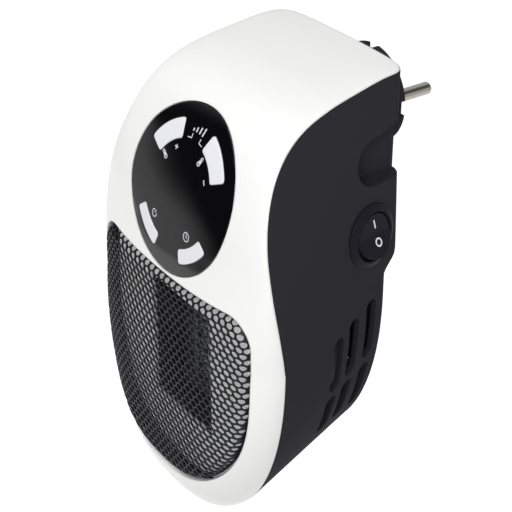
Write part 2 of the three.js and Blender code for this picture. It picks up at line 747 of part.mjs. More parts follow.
// Heating element: upright ceramic bars with folded fins between them, in a holder at each end
const elementHalf = duct.halfWidth - fitGap;
const holderInner = duct.top + fitGap + element.holder;
[["upper", -duct.top - fitGap, -1], ["lower", -ductBottom + fitGap, 1]].forEach(([name, z, way]) => {
  add(`${name}_element_holder`, box(-elementHalf, elementHalf, -elementFront, -elementRear, z,
    z + way * element.holder), looks.ceramic);
});
const elementTop = -holderInner - fitGap;
const elementBottom = -ductBottom + fitGap + element.holder + fitGap;
const barPitch = (2 * elementHalf) / (element.barCount + 1);
for (let k = 1; k <= element.barCount; k++) {
  const x = -elementHalf + k * barPitch;
  const halfBar = element.barWidth / 2;
  add(`ceramic_bar_${k}`, box(x - halfBar, x + halfBar, -elementFront, -elementRear,
    elementTop, elementBottom), looks.aluminium);
}
for (let k = 0; k <= element.barCount; k++) {
  const besideBar = element.barWidth / 2 + fitGap;
  const left = -elementHalf + k * barPitch + (k ? besideBar : 0);
  const right = -elementHalf + (k + 1) * barPitch - (k < element.barCount ? besideBar : 0);
  const folds = Math.round((elementTop - elementBottom) / element.finPitch) * 2;
  const rise = (elementTop - elementBottom) / folds;
  const zigzag = Array.from({ length: folds + 1 }, (_, n) => [n % 2 ? right - element.finRun : left,
    elementBottom + n * rise]);
  const shape = new THREE.Shape([
    ...zigzag.map(([x, z]) => new THREE.Vector2(x, z)),
    ...zigzag.reverse().map(([x, z]) => new THREE.Vector2(x + element.finRun, z)),
  ]);
  add(`fin_pack_${k + 1}`, prismY(shape, -elementFront + element.finSink, -elementRear), looks.aluminium);
}
const cutoutFront = cutout.setBack - elementFront;
const cutoutFoot = -duct.top + duct.wall + fitGap;
add("thermal_cutout", box(-cutout.width / 2, cutout.width / 2, cutoutFront, cutoutFront + cutout.depth,
  cutoutFoot, cutoutFoot + cutout.height), looks.darkPlastic);

// Fan: frame with arms and a bearing tube, rotor, stator
function fanScrewPlaces() {
  const reach = fan.size / 2 - fan.corner;
  return [[reach, ductMiddle + reach], [-reach, ductMiddle - reach]];
}
const fanFront = -ductRear + fitGap;
const fanRear = fanFront + fan.depth;
const fanBlock = cutAll(
  box(-fan.size / 2, fan.size / 2, fanFront, fanRear,
    ductMiddle - fan.size / 2, ductMiddle + fan.size / 2),
  [rodY(fanBore, fanFront - overrun, fanRear + overrun, 0, ductMiddle)],
);
const arms = Array.from({ length: fanArm.count }, (_, k) => solidOf(
  block(0, fanBore + overrun, fanRear - fanArm.wall, fanRear, -fanArm.width / 2, fanArm.width / 2)
    .rotateY(((k + 1 / 2) / fanArm.count) * 2 * Math.PI)
    .translate(0, 0, ductMiddle),
));
const tubeFront = fanFront + fanRotor.cap + 2 * fanShaft.gap;
add("fan_frame", cutAll(joinAll([
  fanBlock,
  ...arms,
  rodY(fan.hubRadius, fanRear - fanArm.wall, fanRear, 0, ductMiddle),
  rodY(fanShaft.tube, tubeFront, fanRear, 0, ductMiddle, stemSides),
]), [
  rodY(fanShaft.radius + fanShaft.gap, tubeFront - overrun, fanRear - fanShaft.gap,
    0, ductMiddle, stemSides),
  ...fanScrewPlaces().map(([x, z]) =>
    rodY(pilot, fanFront - overrun, fanRear + overrun, x, z, screwSides)),
]), looks.darkPlastic);
const rotorFront = fanFront + fanShaft.gap;
const rotorRear = rotorFront + fanRotor.depth;
const hub = cutAll(rodY(fan.hubRadius, rotorFront, rotorRear, 0, ductMiddle), [
  rodY(fan.hubRadius - fan.bladeWall, rotorFront + fanRotor.cap, rotorRear + overrun, 0, ductMiddle),
]);
const shaft = rodY(fanShaft.radius, rotorFront, rotorRear, 0, ductMiddle, stemSides);
const bladeSpan = bladeReach - fan.hubRadius + fan.bladeWall / 2;
const chord = (fanRotor.depth - fan.bladeWall) / Math.cos(fanRotor.twist);
const blades = Array.from({ length: fan.bladeCount }, (_, k) => solidOf(
  block(0, bladeSpan, -chord / 2, chord / 2, -fan.bladeWall / 2, fan.bladeWall / 2)
    .rotateX(fanRotor.twist)
    .translate(fan.hubRadius - fan.bladeWall / 2, (rotorFront + rotorRear) / 2, 0)
    .rotateY((k / fan.bladeCount) * 2 * Math.PI)
    .translate(0, 0, ductMiddle),
).intersect(rodY(bladeReach, rotorFront, rotorRear, 0, ductMiddle)));
add("fan_rotor", joinAll([hub, shaft, ...blades]), looks.darkPlastic);
add("fan_stator", cutAll(
  rodY(fan.hubRadius - fan.bladeWall - fanShaft.air, tubeFront + fanShaft.air,
    fanRear - fanArm.wall - fitGap, 0, ductMiddle, postSides),
  [rodY(fanShaft.tube + fitGap, tubeFront - overrun, fanRear, 0, ductMiddle, stemSides)],
), looks.copper);
fanScrewPlaces().forEach(([x, z], k) => {
  const reach = fan.depth + fitGap + duct.flange;
  add(`fan_screw_${k + 1}`, rearScrew(reach, x, fanRear + fitGap, z), looks.steel);
});

// Rear body
const gripFront = -grip.middle;
function gripOutline(grow) {
  const shape = new THREE.Shape();
  const radius = grip.radius + grow;
  shape.moveTo(overrun, -grip.drop - radius);
  shape.lineTo(gripFront, -grip.drop - radius);
  for (let k = 1; k <= grip.steps; k++) {
    const angle = -Math.PI / 2 - (k / grip.steps) * Math.PI;
    shape.lineTo(gripFront + radius * Math.cos(angle), -grip.drop + radius * Math.sin(angle));
  }
  shape.lineTo(-rearGap, gripTop + grow);
  shape.lineTo(overrun, gripTop + grow);
  return shape;
}
const far = 2 * rimHalfWidth;
const bothSides = (make) => [make(), make().mirror([1, 0, 0])];
const gripWalls = bothSides(() => prismX(gripOutline(grip.wall), gripFloor - grip.wall, far));
const gripCuts = bothSides(() => prismX(gripOutline(0), gripFloor, far));
function slot(y, top, bottom) {
  const shape = new THREE.Shape();
  const half = vent.width / 2;
  shape.absarc(-y, -top - half, half, 0, Math.PI, false);
  shape.absarc(-y, -bottom + half, half, Math.PI, 2 * Math.PI, false);
  return shape;
}
const ventShapes = vent.places.flatMap((y, k) => [
  slot(y, vent.upperTops[k], vent.upperBottoms[k]),
  slot(y, vent.upperBottoms[k] + vent.bridge, vent.lowerBottoms[k]),
]);
const ventCuts = bothSides(() => prismX(ventShapes, vent.start, far));
const rearWallInner = rearGap + rearStep + bodyWall;
const slotCuts = Array.from({ length: rearSlot.count }, (_, k) => {
  const z = -rearSlot.top - k * rearSlot.pitch;
  return box(-rearSlot.halfWidth, rearSlot.halfWidth, -rearWallInner - overrun, 0, z - rearSlot.height, z);
});
const mainPostHeights = [mainPost.edge - mainBoard.bottom, mainBoard.top - mainPost.edge];
const mainPosts = [-1, 1].flatMap((side) => mainPostHeights.map((z) => [side * mainPostX, z]));
const boardPostFront = -boardRear + fitGap;
const outerBody = bodySolid(0, -seamGap);
const bodyPosts = joinAll([
  ...casePlaces.map(([x, z]) => rodY(casePost.radius, -casePost.joint, 0, x, z, postSides)),
  ...mainPosts.map(([x, z]) => rodY(mainPost.radius, boardPostFront, 0, x, z, postSides)),
  ...gripWalls,
]).intersect(outerBody);
const seat = -casePost.joint + casePost.floor;
const boardScrewPlaces = mainPosts.filter(([x, z]) => x * z < 0);
const switchHole = onSwitch(
  rod(rockerSwitch.barrelRadius + fitGap, -rockerSwitch.barrel, rockerSwitch.barrel));
add("rear_body", cutAll(
  outerBody.subtract(bodySolid(bodyWall, 2 * overrun)).add(bodyPosts),
  [
    ...gripCuts,
    ...ventCuts,
    ...slotCuts,
    rodY(plug.neckRadius + fitGap, -rearGap - bodyWall - overrun, 0, 0, 0),
    switchHole,
    ...casePlaces.flatMap(([x, z]) => [
      rodY(pilot, -casePost.joint - overrun, seat + overrun, x, z, screwSides),
      rodY(casePost.counter, seat, 0, x, z, postSides),
    ]),
    ...boardScrewPlaces.map(([x, z]) =>
      rodY(pilot, boardPostFront - overrun, boardPostFront + screw.length, x, z, screwSides)),
  ],
), looks.mattBlack);
casePlaces.forEach(([x, z], k) => {
  add(`case_screw_${k + 1}`, rearScrew(screw.length + casePost.floor, x, seat + fitGap, z), looks.steel);
});

// Rocker switch: a round housing through the side wall, the rocker and two terminals
const barrelFoot = -rockerSwitch.barrel;
const flangeFace = fitGap + rockerSwitch.flange;
add("switch_housing", cutAll(
  onSwitch(rod(rockerSwitch.barrelRadius, barrelFoot, flangeFace)).add(
    onSwitch(rod(rockerSwitch.flangeRadius, fitGap, flangeFace)).subtract(bodySolid(-fitGap, 0)),
  ),
  [onSwitch(rod(rockerSwitch.bore, barrelFoot + rockerSwitch.floor, flangeFace + overrun))],
), looks.darkPlastic);
const edge = rocker.radius + overrun;
const rockerShape = new THREE.Shape([
  [-edge, -rocker.reach],
  [edge, -rocker.reach],
  [edge, rocker.valley - rocker.hinge + edge * Math.tan(rocker.angle)],
  [0, rocker.valley - rocker.hinge],
  [-edge, rocker.valley - rocker.hinge + edge * Math.tan(rocker.angle)],
].map(([x, y]) => new THREE.Vector2(x, y)));
const rockerPrism = solidOf(new THREE.ExtrudeGeometry(rockerShape, {
  depth: 2 * edge,
  bevelEnabled: false,
}).translate(0, 0, -edge).rotateX(Math.PI / 2).rotateZ(Math.PI / 2));
const ball = new THREE.SphereGeometry(rocker.radius, rocker.sides, rocker.rings);
const rockerBall = solidOf(ball.rotateX(Math.PI / 2));
add("rocker", onSwitch(geometryOf(rockerBall.intersect(rockerPrism))
  .rotateX(-rocker.angle)
  .translate(0, 0, rocker.hinge)), looks.darkPlastic);
[-1, 1].forEach((side, k) => {
  const y = (side * terminal.spacing) / 2;
  add(`switch_terminal_${k + 1}`, onSwitch(block(-terminal.width / 2, terminal.width / 2,
    y - terminal.wall / 2, y + terminal.wall / 2,
    barrelFoot - fitGap - terminal.length, barrelFoot - fitGap)), looks.brass);
});

// Wall plug
const neckEnd = -rearGap - bodyWall - fitGap;
const notchFloor = plug.radius - earth.notch;
const sink = earth.length + 2 * fitGap;
const earthHalf = earth.width / 2;
add("plug_body", cutAll(joinAll([
  rodY(plug.radius, -plug.face, 0, 0, 0, panelSides),
  rodY(plug.baseRadius, -rearGap + fitGap, 0, 0, 0),
  rodY(plug.neckRadius, neckEnd, 0, 0, 0),
]), [
  ...[-1, 1].flatMap((side) => [
    rodY(pin.radius + fitGap, -pin.tail - fitGap, overrun, (side * pin.spacing) / 2, 0, postSides),
    rodY(pilot, neckEnd - overrun, neckEnd + screw.length, 0, side * retainerScrewZ, screwSides),
    box(-earthHalf - fitGap, earthHalf + fitGap, -sink, overrun,
      side * notchFloor, side * plug.radius * 2),
    box(side * (plug.radius - earth.side), side * plug.radius * 2, -sink, overrun,
      -earth.sideWidth / 2, earth.sideWidth / 2),
  ]),
]), looks.mattBlack);
const retainerRear = neckEnd - fitGap;
const retainerFront = retainerRear - plug.retainer;
const retainerHoles = [-1, 1].map((side) =>
  rodY(pilot, retainerFront - overrun, retainerRear + overrun, 0, side * retainerScrewZ, screwSides));
add("plug_retainer", cutAll(
  rodY(plug.retainerRadius, retainerFront, retainerRear, 0, 0),
  retainerHoles,
), looks.whitePlastic);
[-1, 1].forEach((side, k) => {
  const profile = [
    [0, -pin.tail],
    [pin.radius, -pin.tail],
    [pin.radius, pin.length - pin.tip],
    [pin.radius * pin.chamferShare, pin.length - pin.tip * (1 - pin.chamferShare)],
    [pin.radius - pin.tip, pin.length],
    [0, pin.length],
  ].map(([x, y]) => new THREE.Vector2(x, y));
  add(`plug_pin_${k + 1}`, solidOf(new THREE.LatheGeometry(profile, postSides)
    .translate((side * pin.spacing) / 2, 0, 0)), looks.steel);
  const low = notchFloor + fitGap;
  const bowed = Array.from({ length: arcSteps + 1 }, (_, n) => {
    const t = n / arcSteps;
    return [-fitGap - earth.length * t, low + earth.bow * Math.sin(Math.PI * t)];
  });
  const strip = new THREE.Shape([
    ...bowed.map(([y, z]) => new THREE.Vector2(y, z)),
    ...bowed.reverse().map(([y, z]) => new THREE.Vector2(y, z + earth.wall)),
  ]);
  const clip = prismX(strip, -earthHalf, earthHalf);
  add(`earth_clip_${k + 1}`, side > 0 ? clip : clip.mirror([0, 0, 1]), looks.brass);
  add(`retainer_screw_${k + 1}`, frontScrew(screw.length, 0, retainerFront - fitGap, side * retainerScrewZ),
    looks.steel);
});

// Main board and its parts
const boardFront = -boardRear - mainBoard.wall;
add("main_board", cutAll(
  box(-boardHalf, boardHalf, boardFront, -boardRear, -mainBoard.bottom, mainBoard.top),
  boardScrewPlaces.map(([x, z]) =>
    rodY(pilot, boardFront - overrun, -boardRear + overrun, x, z, screwSides)),
), looks.board);
boardScrewPlaces.forEach(([x, z], k) => {
  add(`board_screw_${k + 1}`, frontScrew(screw.length, x, boardFront - fitGap, z), looks.steel);
});
const partsRear = boardFront - fitGap;
const onBoard = ({ width, height, depth, z }, x) =>
  box(x - width / 2, x + width / 2, partsRear - depth, partsRear, z - height / 2, z + height / 2);
const transformerX = transformer.side + transformer.width / 2 - boardHalf;
const relayX = boardHalf - relay.side - relay.width / 2;
const capacitorX = boardHalf - capacitor.side - capacitor.radius;
add("transformer_block", onBoard(transformer, transformerX), looks.yellow);
add("relay", onBoard(relay, relayX), looks.darkPlastic);
add("capacitor", rodY(capacitor.radius, partsRear - capacitor.length, partsRear,
  capacitorX, capacitor.z, roundSides / 2), looks.aluminium);

// Leads, each a tube along a smooth curve between the places that it joins
const atBoard = (x) => new THREE.Vector3(x, -boardRear - mainBoard.wall / 2, -mainBoard.bottom - lead.gap);
const tipDepth = barrelFoot - fitGap - terminal.length - lead.gap;
const atTerminal = (side, away) =>
  new THREE.Vector3(0, (side * terminal.spacing) / 2, tipDepth - away).applyMatrix4(switchPlace);
const fanMiddle = (fanFront + fanRear) / 2;
const atFan = (away) => new THREE.Vector3(-leadStarts.fan, fanMiddle, ductMiddle + fan.size / 2 + lead.gap + away);
const leadEnds = {
  plug_lead: [
    [new THREE.Vector3(leadStarts.plug.x, retainerFront - lead.gap, -leadStarts.plug.z)],
    [atTerminal(1, lead.bend), atTerminal(1, 0)],
  ],
  switch_lead: [[atTerminal(-1, 0), atTerminal(-1, lead.bend)], [atBoard(leadStarts.board)]],
  heater_lead: [
    [atBoard(-leadStarts.board)],
    [new THREE.Vector3(0, cutoutFront + cutout.depth / 2, cutoutFoot + cutout.height + lead.gap)],
  ],
  fan_lead: [[atBoard(-leadStarts.boardFan)], [atFan(lead.bend), atFan(0)]],
};
function leadSolid(points) {
  const section = new THREE.Shape();
  for (let k = 0; k < lead.sides; k++) {
    const angle = (k / lead.sides) * 2 * Math.PI;
    section[k ? "lineTo" : "moveTo"](lead.radius * Math.cos(angle), lead.radius * Math.sin(angle));
  }
  return solidOf(new THREE.ExtrudeGeometry(section, {
    steps: lead.steps,
    extrudePath: new THREE.CatmullRomCurve3(points),
    bevelEnabled: false,
  }));
}

for (const [name, route] of Object.entries(leadRoutes)) {
  const [first, last] = leadEnds[name];
  const between = route.map(([x, y, z]) => new THREE.Vector3(x, y, z));
  add(name, leadSolid([...first, ...between, ...last]), looks.leadRed);
}

export default heater;
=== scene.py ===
"""A plug-in fan heater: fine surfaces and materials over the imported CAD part.

Sizes are written in millimetres in the part's own frame and turned into metres when a mesh is made.
"""

import json
import math

import bmesh
import bpy
import numpy as np
from mathutils import Matrix, Vector
from mathutils.bvhtree import BVHTree


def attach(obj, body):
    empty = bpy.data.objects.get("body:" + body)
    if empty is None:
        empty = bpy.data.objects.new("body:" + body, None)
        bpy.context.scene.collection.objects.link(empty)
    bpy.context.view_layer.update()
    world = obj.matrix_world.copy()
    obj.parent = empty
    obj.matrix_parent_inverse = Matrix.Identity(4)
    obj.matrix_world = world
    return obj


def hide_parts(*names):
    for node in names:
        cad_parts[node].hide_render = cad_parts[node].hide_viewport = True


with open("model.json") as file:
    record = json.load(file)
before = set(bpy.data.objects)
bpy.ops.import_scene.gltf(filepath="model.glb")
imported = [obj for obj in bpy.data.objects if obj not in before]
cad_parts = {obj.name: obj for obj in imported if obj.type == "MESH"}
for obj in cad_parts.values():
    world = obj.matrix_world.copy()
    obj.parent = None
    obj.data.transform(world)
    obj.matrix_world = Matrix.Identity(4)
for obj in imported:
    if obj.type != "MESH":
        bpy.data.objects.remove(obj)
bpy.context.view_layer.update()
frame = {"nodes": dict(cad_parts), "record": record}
MM = 0.001

# ---- Surface of the housing, from the same formulas as the CAD part ----
TOP, BOTTOM, REAR = 26.2, 151.0, 15.2
RIM_DEPTH, RIM_BOTTOM_DEPTH = 83.1, 80.2
RIM_HALF, RIM_TOP_HALF, REAR_HALF, REAR_TOP_HALF = 56.5, 40.5, 37.6, 35.4
REAR_BOTTOM, REAR_STEP, STEP_TOP, STEP_RUN = 135.0, 5.0, 44.0, 9.0
WIDEST, CROWN, CROWN_POWER, BOTTOM_POWER = 64.0, 18.4, 2.5, 8
SHELL_WALL, BODY_WALL, SEAM, CORNER = 2.6, 2.2, 0.35, 6.0
UPPER_ROWS, LOWER_ROWS, FINE, REAR_ROWS, COLUMNS = 11, 9, 7, 16, 120
SIDE_STEPS, CORNER_STEPS, BACK_STEPS, CURVE_POINTS = 10, 8, 8, 801
# The rim from the rear corner to the widest line: shares of its depth, height and crown
RIM_SHARES = [
    (0, 0.986, 0.07), (0.166, 0.979, 0.08), (0.337, 0.958, 0.12), (0.518, 0.93, 0.15),
    (0.679, 0.886, 0.165), (0.794, 0.823, 0.17), (0.887, 0.731, 0.165), (0.954, 0.616, 0.18),
    (0.991, 0.494, 0.26), (1, 0.34, 0.4), (0.985, 0.17, 0.63), (0.957, 0, 0.82),
]


def clamp(u):
    return min(1.0, max(0.0, u))


def smooth(u):
    return u * u * (3 - 2 * u)


def mix(a, b, t):
    return a + (b - a) * t


def spline(points, u, power):
    """A point on a smooth curve through points, u from 0 to 1; power 0.25 spaces it by distance."""
    last = len(points) - 1
    k = min(int(u * last), last - 1)
    t = u * last - k
    p1, p2 = points[k], points[k + 1]
    p0 = points[k - 1] if k > 0 else 2 * p1 - p2
    p3 = points[k + 2] if k + 2 <= last else 2 * p2 - p1
    d0, d1, d2 = (max(float(((b - a) ** 2).sum()) ** power, 1e-4)
                  for a, b in ((p0, p1), (p1, p2), (p2, p3)))
    m1 = ((p1 - p0) / d0 - (p2 - p0) / (d0 + d1) + (p2 - p1) / d1) * d1
    m2 = ((p2 - p1) / d1 - (p3 - p1) / (d1 + d2) + (p3 - p2) / d2) * d1
    return p1 + m1 * t + (3 * (p2 - p1) - 2 * m1 - m2) * t**2 + (2 * (p1 - p2) + m1 + m2) * t**3


def side_at(y, z):
    """The body's half width at a depth and a height."""
    back = (-REAR - y) / (RIM_BOTTOM_DEPTH - REAR)
    up = smooth(clamp((z + WIDEST) / (TOP + WIDEST)))
    return min(RIM_HALF, mix(mix(REAR_HALF, REAR_TOP_HALF, up), mix(RIM_HALF, RIM_TOP_HALF, up), back))


def rear_at(z):
    """The depth of the rear wall, which steps forwards below the plug."""
    return -REAR - REAR_STEP * smooth(clamp((-z - STEP_TOP) / STEP_RUN))


def rear_corner(y):
    """How far the round rear corner takes the side in, seen from above."""
    over = y + REAR + CORNER
    return CORNER - math.sqrt(max(0.0, CORNER**2 - over**2)) if over > 0 else 0.0


def rim_curve():
    """The rim's upper part as close points, with the distance run to each."""
    knots = np.array([(c * CROWN, -REAR - d * (RIM_DEPTH - REAR), -WIDEST + h * (TOP + WIDEST))
                      for d, h, c in RIM_SHARES])
    dense = np.array([spline(knots, u, 0.25) for u in np.linspace(0, 1, CURVE_POINTS)])
    return dense, np.concatenate([[0], np.cumsum(np.linalg.norm(np.diff(dense, axis=0), axis=1))])


DENSE, RUN = rim_curve()


def rim_row(t):
    """A row of the rim as (half width, y, z, crown, turn); t counts rows as coarse as the CAD part's."""
    if t <= UPPER_ROWS:
        crown, y, z = (float(np.interp(RUN[-1] * t / UPPER_ROWS, RUN, DENSE[:, k])) for k in range(3))
        return side_at(y, z) - rear_corner(y), y, z, crown, 0.0
    turn = (t - UPPER_ROWS) / LOWER_ROWS * math.pi / 2
    down = math.sin(turn)
    grown = mix(RIM_SHARES[-1][2], 1, 1 - (1 - down) ** 3)
    crown = CROWN * grown * (1 - down**BOTTOM_POWER)
    return RIM_HALF * math.cos(turn), -RIM_BOTTOM_DEPTH, -WIDEST - (BOTTOM - WIDEST) * down, crown, turn


def rim_directions(steps):
    """The way the crown rises at each step, as (y, z), smooth through the CAD rows' own directions."""
    count = UPPER_ROWS + LOWER_ROWS
    coarse = [rim_row(i) for i in range(count + 1)]
    tilts = []
    for i in range(count + 1):
        a, b = coarse[max(0, i - 1)], coarse[min(i + 1, count)]
        tilts.append([0.0 if i > UPPER_ROWS else math.atan2(a[1] - b[1], a[2] - b[2])])
    tilts = np.array(tilts)
    return [(-math.cos(t), math.sin(t)) for t in (float(spline(tilts, u / count, 0)[0]) for u in steps)]


# Rows lie closer together at the rear, where the corner is round
STEPS = [(k / REAR_ROWS) ** 2 for k in range(REAR_ROWS)]
STEPS += [k / FINE for k in range(FINE, (UPPER_ROWS + LOWER_ROWS) * FINE + 1)]
ROWS = [rim_row(t) for t in STEPS]
OUT = rim_directions(STEPS)


def front_grid():
    """Rows of points over the front, from the left rim to the right rim."""
    grid = np.zeros((len(ROWS), COLUMNS + 1, 3))
    for i, ((w, y, z, crown, _), (oy, oz)) in enumerate(zip(ROWS, OUT)):
        a = np.sin((2 * np.arange(COLUMNS + 1) / COLUMNS - 1) * math.pi / 2)
        rise = crown * np.sqrt(np.maximum(0, 1 - np.abs(a) ** CROWN_POWER))
        grid[i] = np.stack([w * a, y + oy * rise, z + oz * rise], axis=1)
    return grid


def body_grid(inset, lift):
    """Rows of points round the back from rim to rim, set in by a wall and lifted towards the front."""
    grid = []
    for (w, y, z, _, turn), (oy, oz) in zip(ROWS, OUT):
        sink, across = math.sin(turn), math.cos(turn)
        z0 = z + oz * lift + sink * inset
        z_rear = -WIDEST - (REAR_BOTTOM - inset - WIDEST) * sink if turn else z0
        y_rear = rear_at(z_rear) - inset
        y0 = min(y + oy * lift, y_rear - SEAM)
        w0 = (RIM_HALF - inset) * across if turn else w - inset
        w_rear = (REAR_HALF - inset) * across if turn else side_at(-REAR, z0) - inset
        run = y_rear - y0
        radius = min(CORNER - inset, w_rear)
        sx, sy = w_rear - radius, y_rear - radius
        start = math.asin(clamp((y0 - sy) / radius))
        first = mix(w0, w_rear, clamp((sy - y0) / run)) - w_rear
        half = []
        if y0 < sy:
            half = [(mix(w0, w_rear + first, t), mix(y0, sy, t)) for t in np.linspace(0, 1, SIDE_STEPS + 1)]
        count = SIDE_STEPS + 1 + CORNER_STEPS - len(half)
        for k in range(1, count + 1):
            share = k / count if half or start == 0 else (k - 1) / (count - 1)
            t = mix(start, math.pi / 2, share)
            half.append((sx + (radius + first) * math.cos(t), sy + radius * math.sin(t)))
        half = [(x, py, mix(z0, z_rear, (py - y0) / run)) for x, py in half]
        ex, _, ez = half[-1]
        half += [(ex * (1 - k / BACK_STEPS), y_rear, ez) for k in range(1, BACK_STEPS + 1)]
        left = [(-x, py, pz) for x, py, pz in half]
        grid.append(left + half[-2::-1])
    return np.array(grid)


def grid_normals(grid, facing):
    """The smooth direction of a grid's surface at each of its points."""
    up = np.concatenate([grid[:1], grid[:-1]]) - np.concatenate([grid[1:], grid[-1:]])
    after = np.concatenate([grid[:, 1:], grid[:, -1:]], axis=1)
    before = np.concatenate([grid[:, :1], grid[:, :-1]], axis=1)
    along = after - before
    n = np.cross(up, along)
    n /= np.maximum(np.linalg.norm(n, axis=2, keepdims=True), 1e-12)
    n[-1] = n[-2] * [0, 1, 1]
    n[-1] /= np.maximum(np.linalg.norm(n[-1], axis=1, keepdims=True), 1e-12)
    return n * facing


# ---- Outlines ----
SIDES, FINE_SIDES = 96, 128


def circle(radius, sides):
    """Points round a circle about zero."""
    return [(radius * math.cos(2 * math.pi * k / sides), radius * math.sin(2 * math.pi * k / sides))
            for k in range(sides)]


def arc(cx, cy, radius, start, end, steps):
    """Points on a round line about (cx, cy), from one angle to another in degrees."""
    return [(cx + radius * math.cos(math.radians(mix(start, end, k / steps))),
             cy + radius * math.sin(math.radians(mix(start, end, k / steps)))) for k in range(steps + 1)]


def along_y(u, v, depth):
    """The place of an outline in X and Z pushed along Y."""
    return (u, depth, v)


def along_x(u, v, depth):
    """The place of an outline in Y and Z pushed along X."""
    return (depth, u, v)


# ---- Meshes ----
# How near a face lies to a skin that it follows, in metres, and the least cosine between their directions
NEAR, NEAR_LENS, SAME_WAY = 0.0002, 0.0003, 0.85


def new_object(name, verts, faces):
    """A mesh object from millimetre points."""
    mesh = bpy.data.meshes.new(name)
    mesh.from_pydata([tuple(float(c) * MM for c in v) for v in verts], [], [tuple(f) for f in faces])
    mesh.update()
    obj = bpy.data.objects.new(name, mesh)
    bpy.context.scene.collection.objects.link(obj)
    return obj


def grid_faces(rows, columns, start=0, flip=False):
    """Faces between the rows and columns of a grid of points."""
    faces = []
    for i in range(rows - 1):
        for j in range(columns - 1):
            a, b = start + i * columns + j, start + (i + 1) * columns + j
            faces.append((a, a + 1, b + 1, b) if flip else (a, b, b + 1, a + 1))
    return faces


def ring_faces(count, n):
    """Faces between rings of n points each."""
    return [(i * n + k, i * n + (k + 1) % n, (i + 1) * n + (k + 1) % n, (i + 1) * n + k)
            for i in range(count - 1) for k in range(n)]


def weld(obj, dist=1e-6):
    """Joins points that meet and turns all faces outwards."""
    bm = bmesh.new()
    bm.from_mesh(obj.data)
    bmesh.ops.remove_doubles(bm, verts=bm.verts, dist=dist)
    bmesh.ops.dissolve_degenerate(bm, edges=bm.edges, dist=dist)
    bmesh.ops.recalc_face_normals(bm, faces=bm.faces)
    bm.to_mesh(obj.data)
    bm.free()
    return obj


def slab(name, outer, inner):
    """The closed solid between two grids whose last row closes on itself."""
    rows, columns = outer.shape[:2]
    verts = np.concatenate([outer.reshape(-1, 3), inner.reshape(-1, 3)])
    half = rows * columns
    faces = grid_faces(rows, columns) + grid_faces(rows, columns, half, True)
    for i in range(rows - 1):
        for j, turn in ((0, False), (columns - 1, True)):
            a, b = i * columns + j, (i + 1) * columns + j
            faces.append((a, b, half + b, half + a) if turn else (a, half + a, half + b, b))
    for j in range(columns - 1):
        faces.append((j, j + 1, half + j + 1, half + j))
    return weld(new_object(name, verts, faces))


def prism(name, outline, low, high, place):
    """An outline of (u, v) pairs pushed from low to high; place turns (u, v, depth) into a point."""
    n = len(outline)
    verts = [place(u, v, low) for u, v in outline] + [place(u, v, high) for u, v in outline]
    faces = [tuple(range(n)), tuple(range(2 * n - 1, n - 1, -1))]
    faces += [(k, n + k, n + (k + 1) % n, (k + 1) % n) for k in range(n)]
    return weld(new_object(name, verts, faces))


def lathe(name, profile, sides, place):
    """A turned solid from (radius, height) pairs whose first and last lie on the axis."""
    verts, rings = [], []
    for r, h in profile:
        if r < 1e-9:
            rings.append([len(verts)])
            verts.append((0, 0, h))
            continue
        rings.append(list(range(len(verts), len(verts) + sides)))
        verts += [(u, v, h) for u, v in circle(r, sides)]
    faces = []
    for low, high in zip(rings, rings[1:]):
        for k in range(sides):
            m = k + 1
            quad = [low[k % len(low)], low[m % len(low)], high[m % len(high)], high[k % len(high)]]
            faces.append(tuple(dict.fromkeys(quad)))
    return weld(new_object(name, [place(*v) for v in verts], faces))


def rod(name, radius, low, high, sides, place):
    """A round rod from low to high."""
    return lathe(name, [(0, low), (radius, low), (radius, high), (0, high)], sides, place)


def rod_y(name, radius, low, high, x, z, sides=48):
    """A round rod along Y."""
    return rod(name, radius, low, high, sides, lambda u, v, h: (x + u, h, z + v))


def combine(obj, others, operation):
    """A boolean of obj with each of the others, which are then gone."""
    for other in others:
        modifier = obj.modifiers.new("cut", "BOOLEAN")
        modifier.operation = operation
        modifier.solver = "EXACT"
        modifier.object = other
        settle(obj)
        bpy.data.objects.remove(other)
    return obj


def settle(obj):
    """Makes the modifiers' result the object's own mesh."""
    graph = bpy.context.evaluated_depsgraph_get()
    mesh = bpy.data.meshes.new_from_object(obj.evaluated_get(graph))
    obj.modifiers.clear()
    obj.data = mesh
    return obj


def shade(obj, angle=30):
    """Smooth faces, with sharp edges where the surface turns by more than an angle."""
    bm = bmesh.new()
    bm.from_mesh(obj.data)
    for face in bm.faces:
        face.smooth = True
    for edge in bm.edges:
        edge.smooth = edge.is_manifold and edge.calc_face_angle(0) < math.radians(angle)
    bm.to_mesh(obj.data)
    bm.free()
    return obj


class Skin:
    """A fine surface that gives the nearest or the first point on it, with its smooth direction."""

    def __init__(self, grid, normals):
        rows, columns = grid.shape[:2]
        self.points = grid.reshape(-1, 3) * MM
        self.normals = normals.reshape(-1, 3)
        self.faces = [t for a, b, c, d in grid_faces(rows, columns) for t in ((a, b, c), (a, c, d))]
        self.tree = BVHTree.FromPolygons([Vector(p) for p in self.points], self.faces)

    def direction(self, hit, face):
        """The smooth direction at a point of a face."""
        a, b, c = (self.points[k] for k in self.faces[face])
        basis = np.array([b - a, c - a]).T
        uv, *_ = np.linalg.lstsq(basis, np.array(hit) - a, rcond=None)
        weights = np.clip([1 - uv.sum(), uv[0], uv[1]], 0, 1)
        n = sum(w * self.normals[k] for w, k in zip(weights, self.faces[face]))
        return Vector(n).normalized()

    def nearest(self, point):
        """The nearest point in metres, its smooth direction and how far off it is."""
        hit, _, face, distance = self.tree.find_nearest(point)
        return hit, self.direction(hit, face), distance

    def along(self, origin, way):
        """The first point that a ray meets, in metres, with its smooth direction."""
        hit, _, face, _ = self.tree.ray_cast(origin, way)
        return (hit, self.direction(hit, face)) if hit else (None, None)


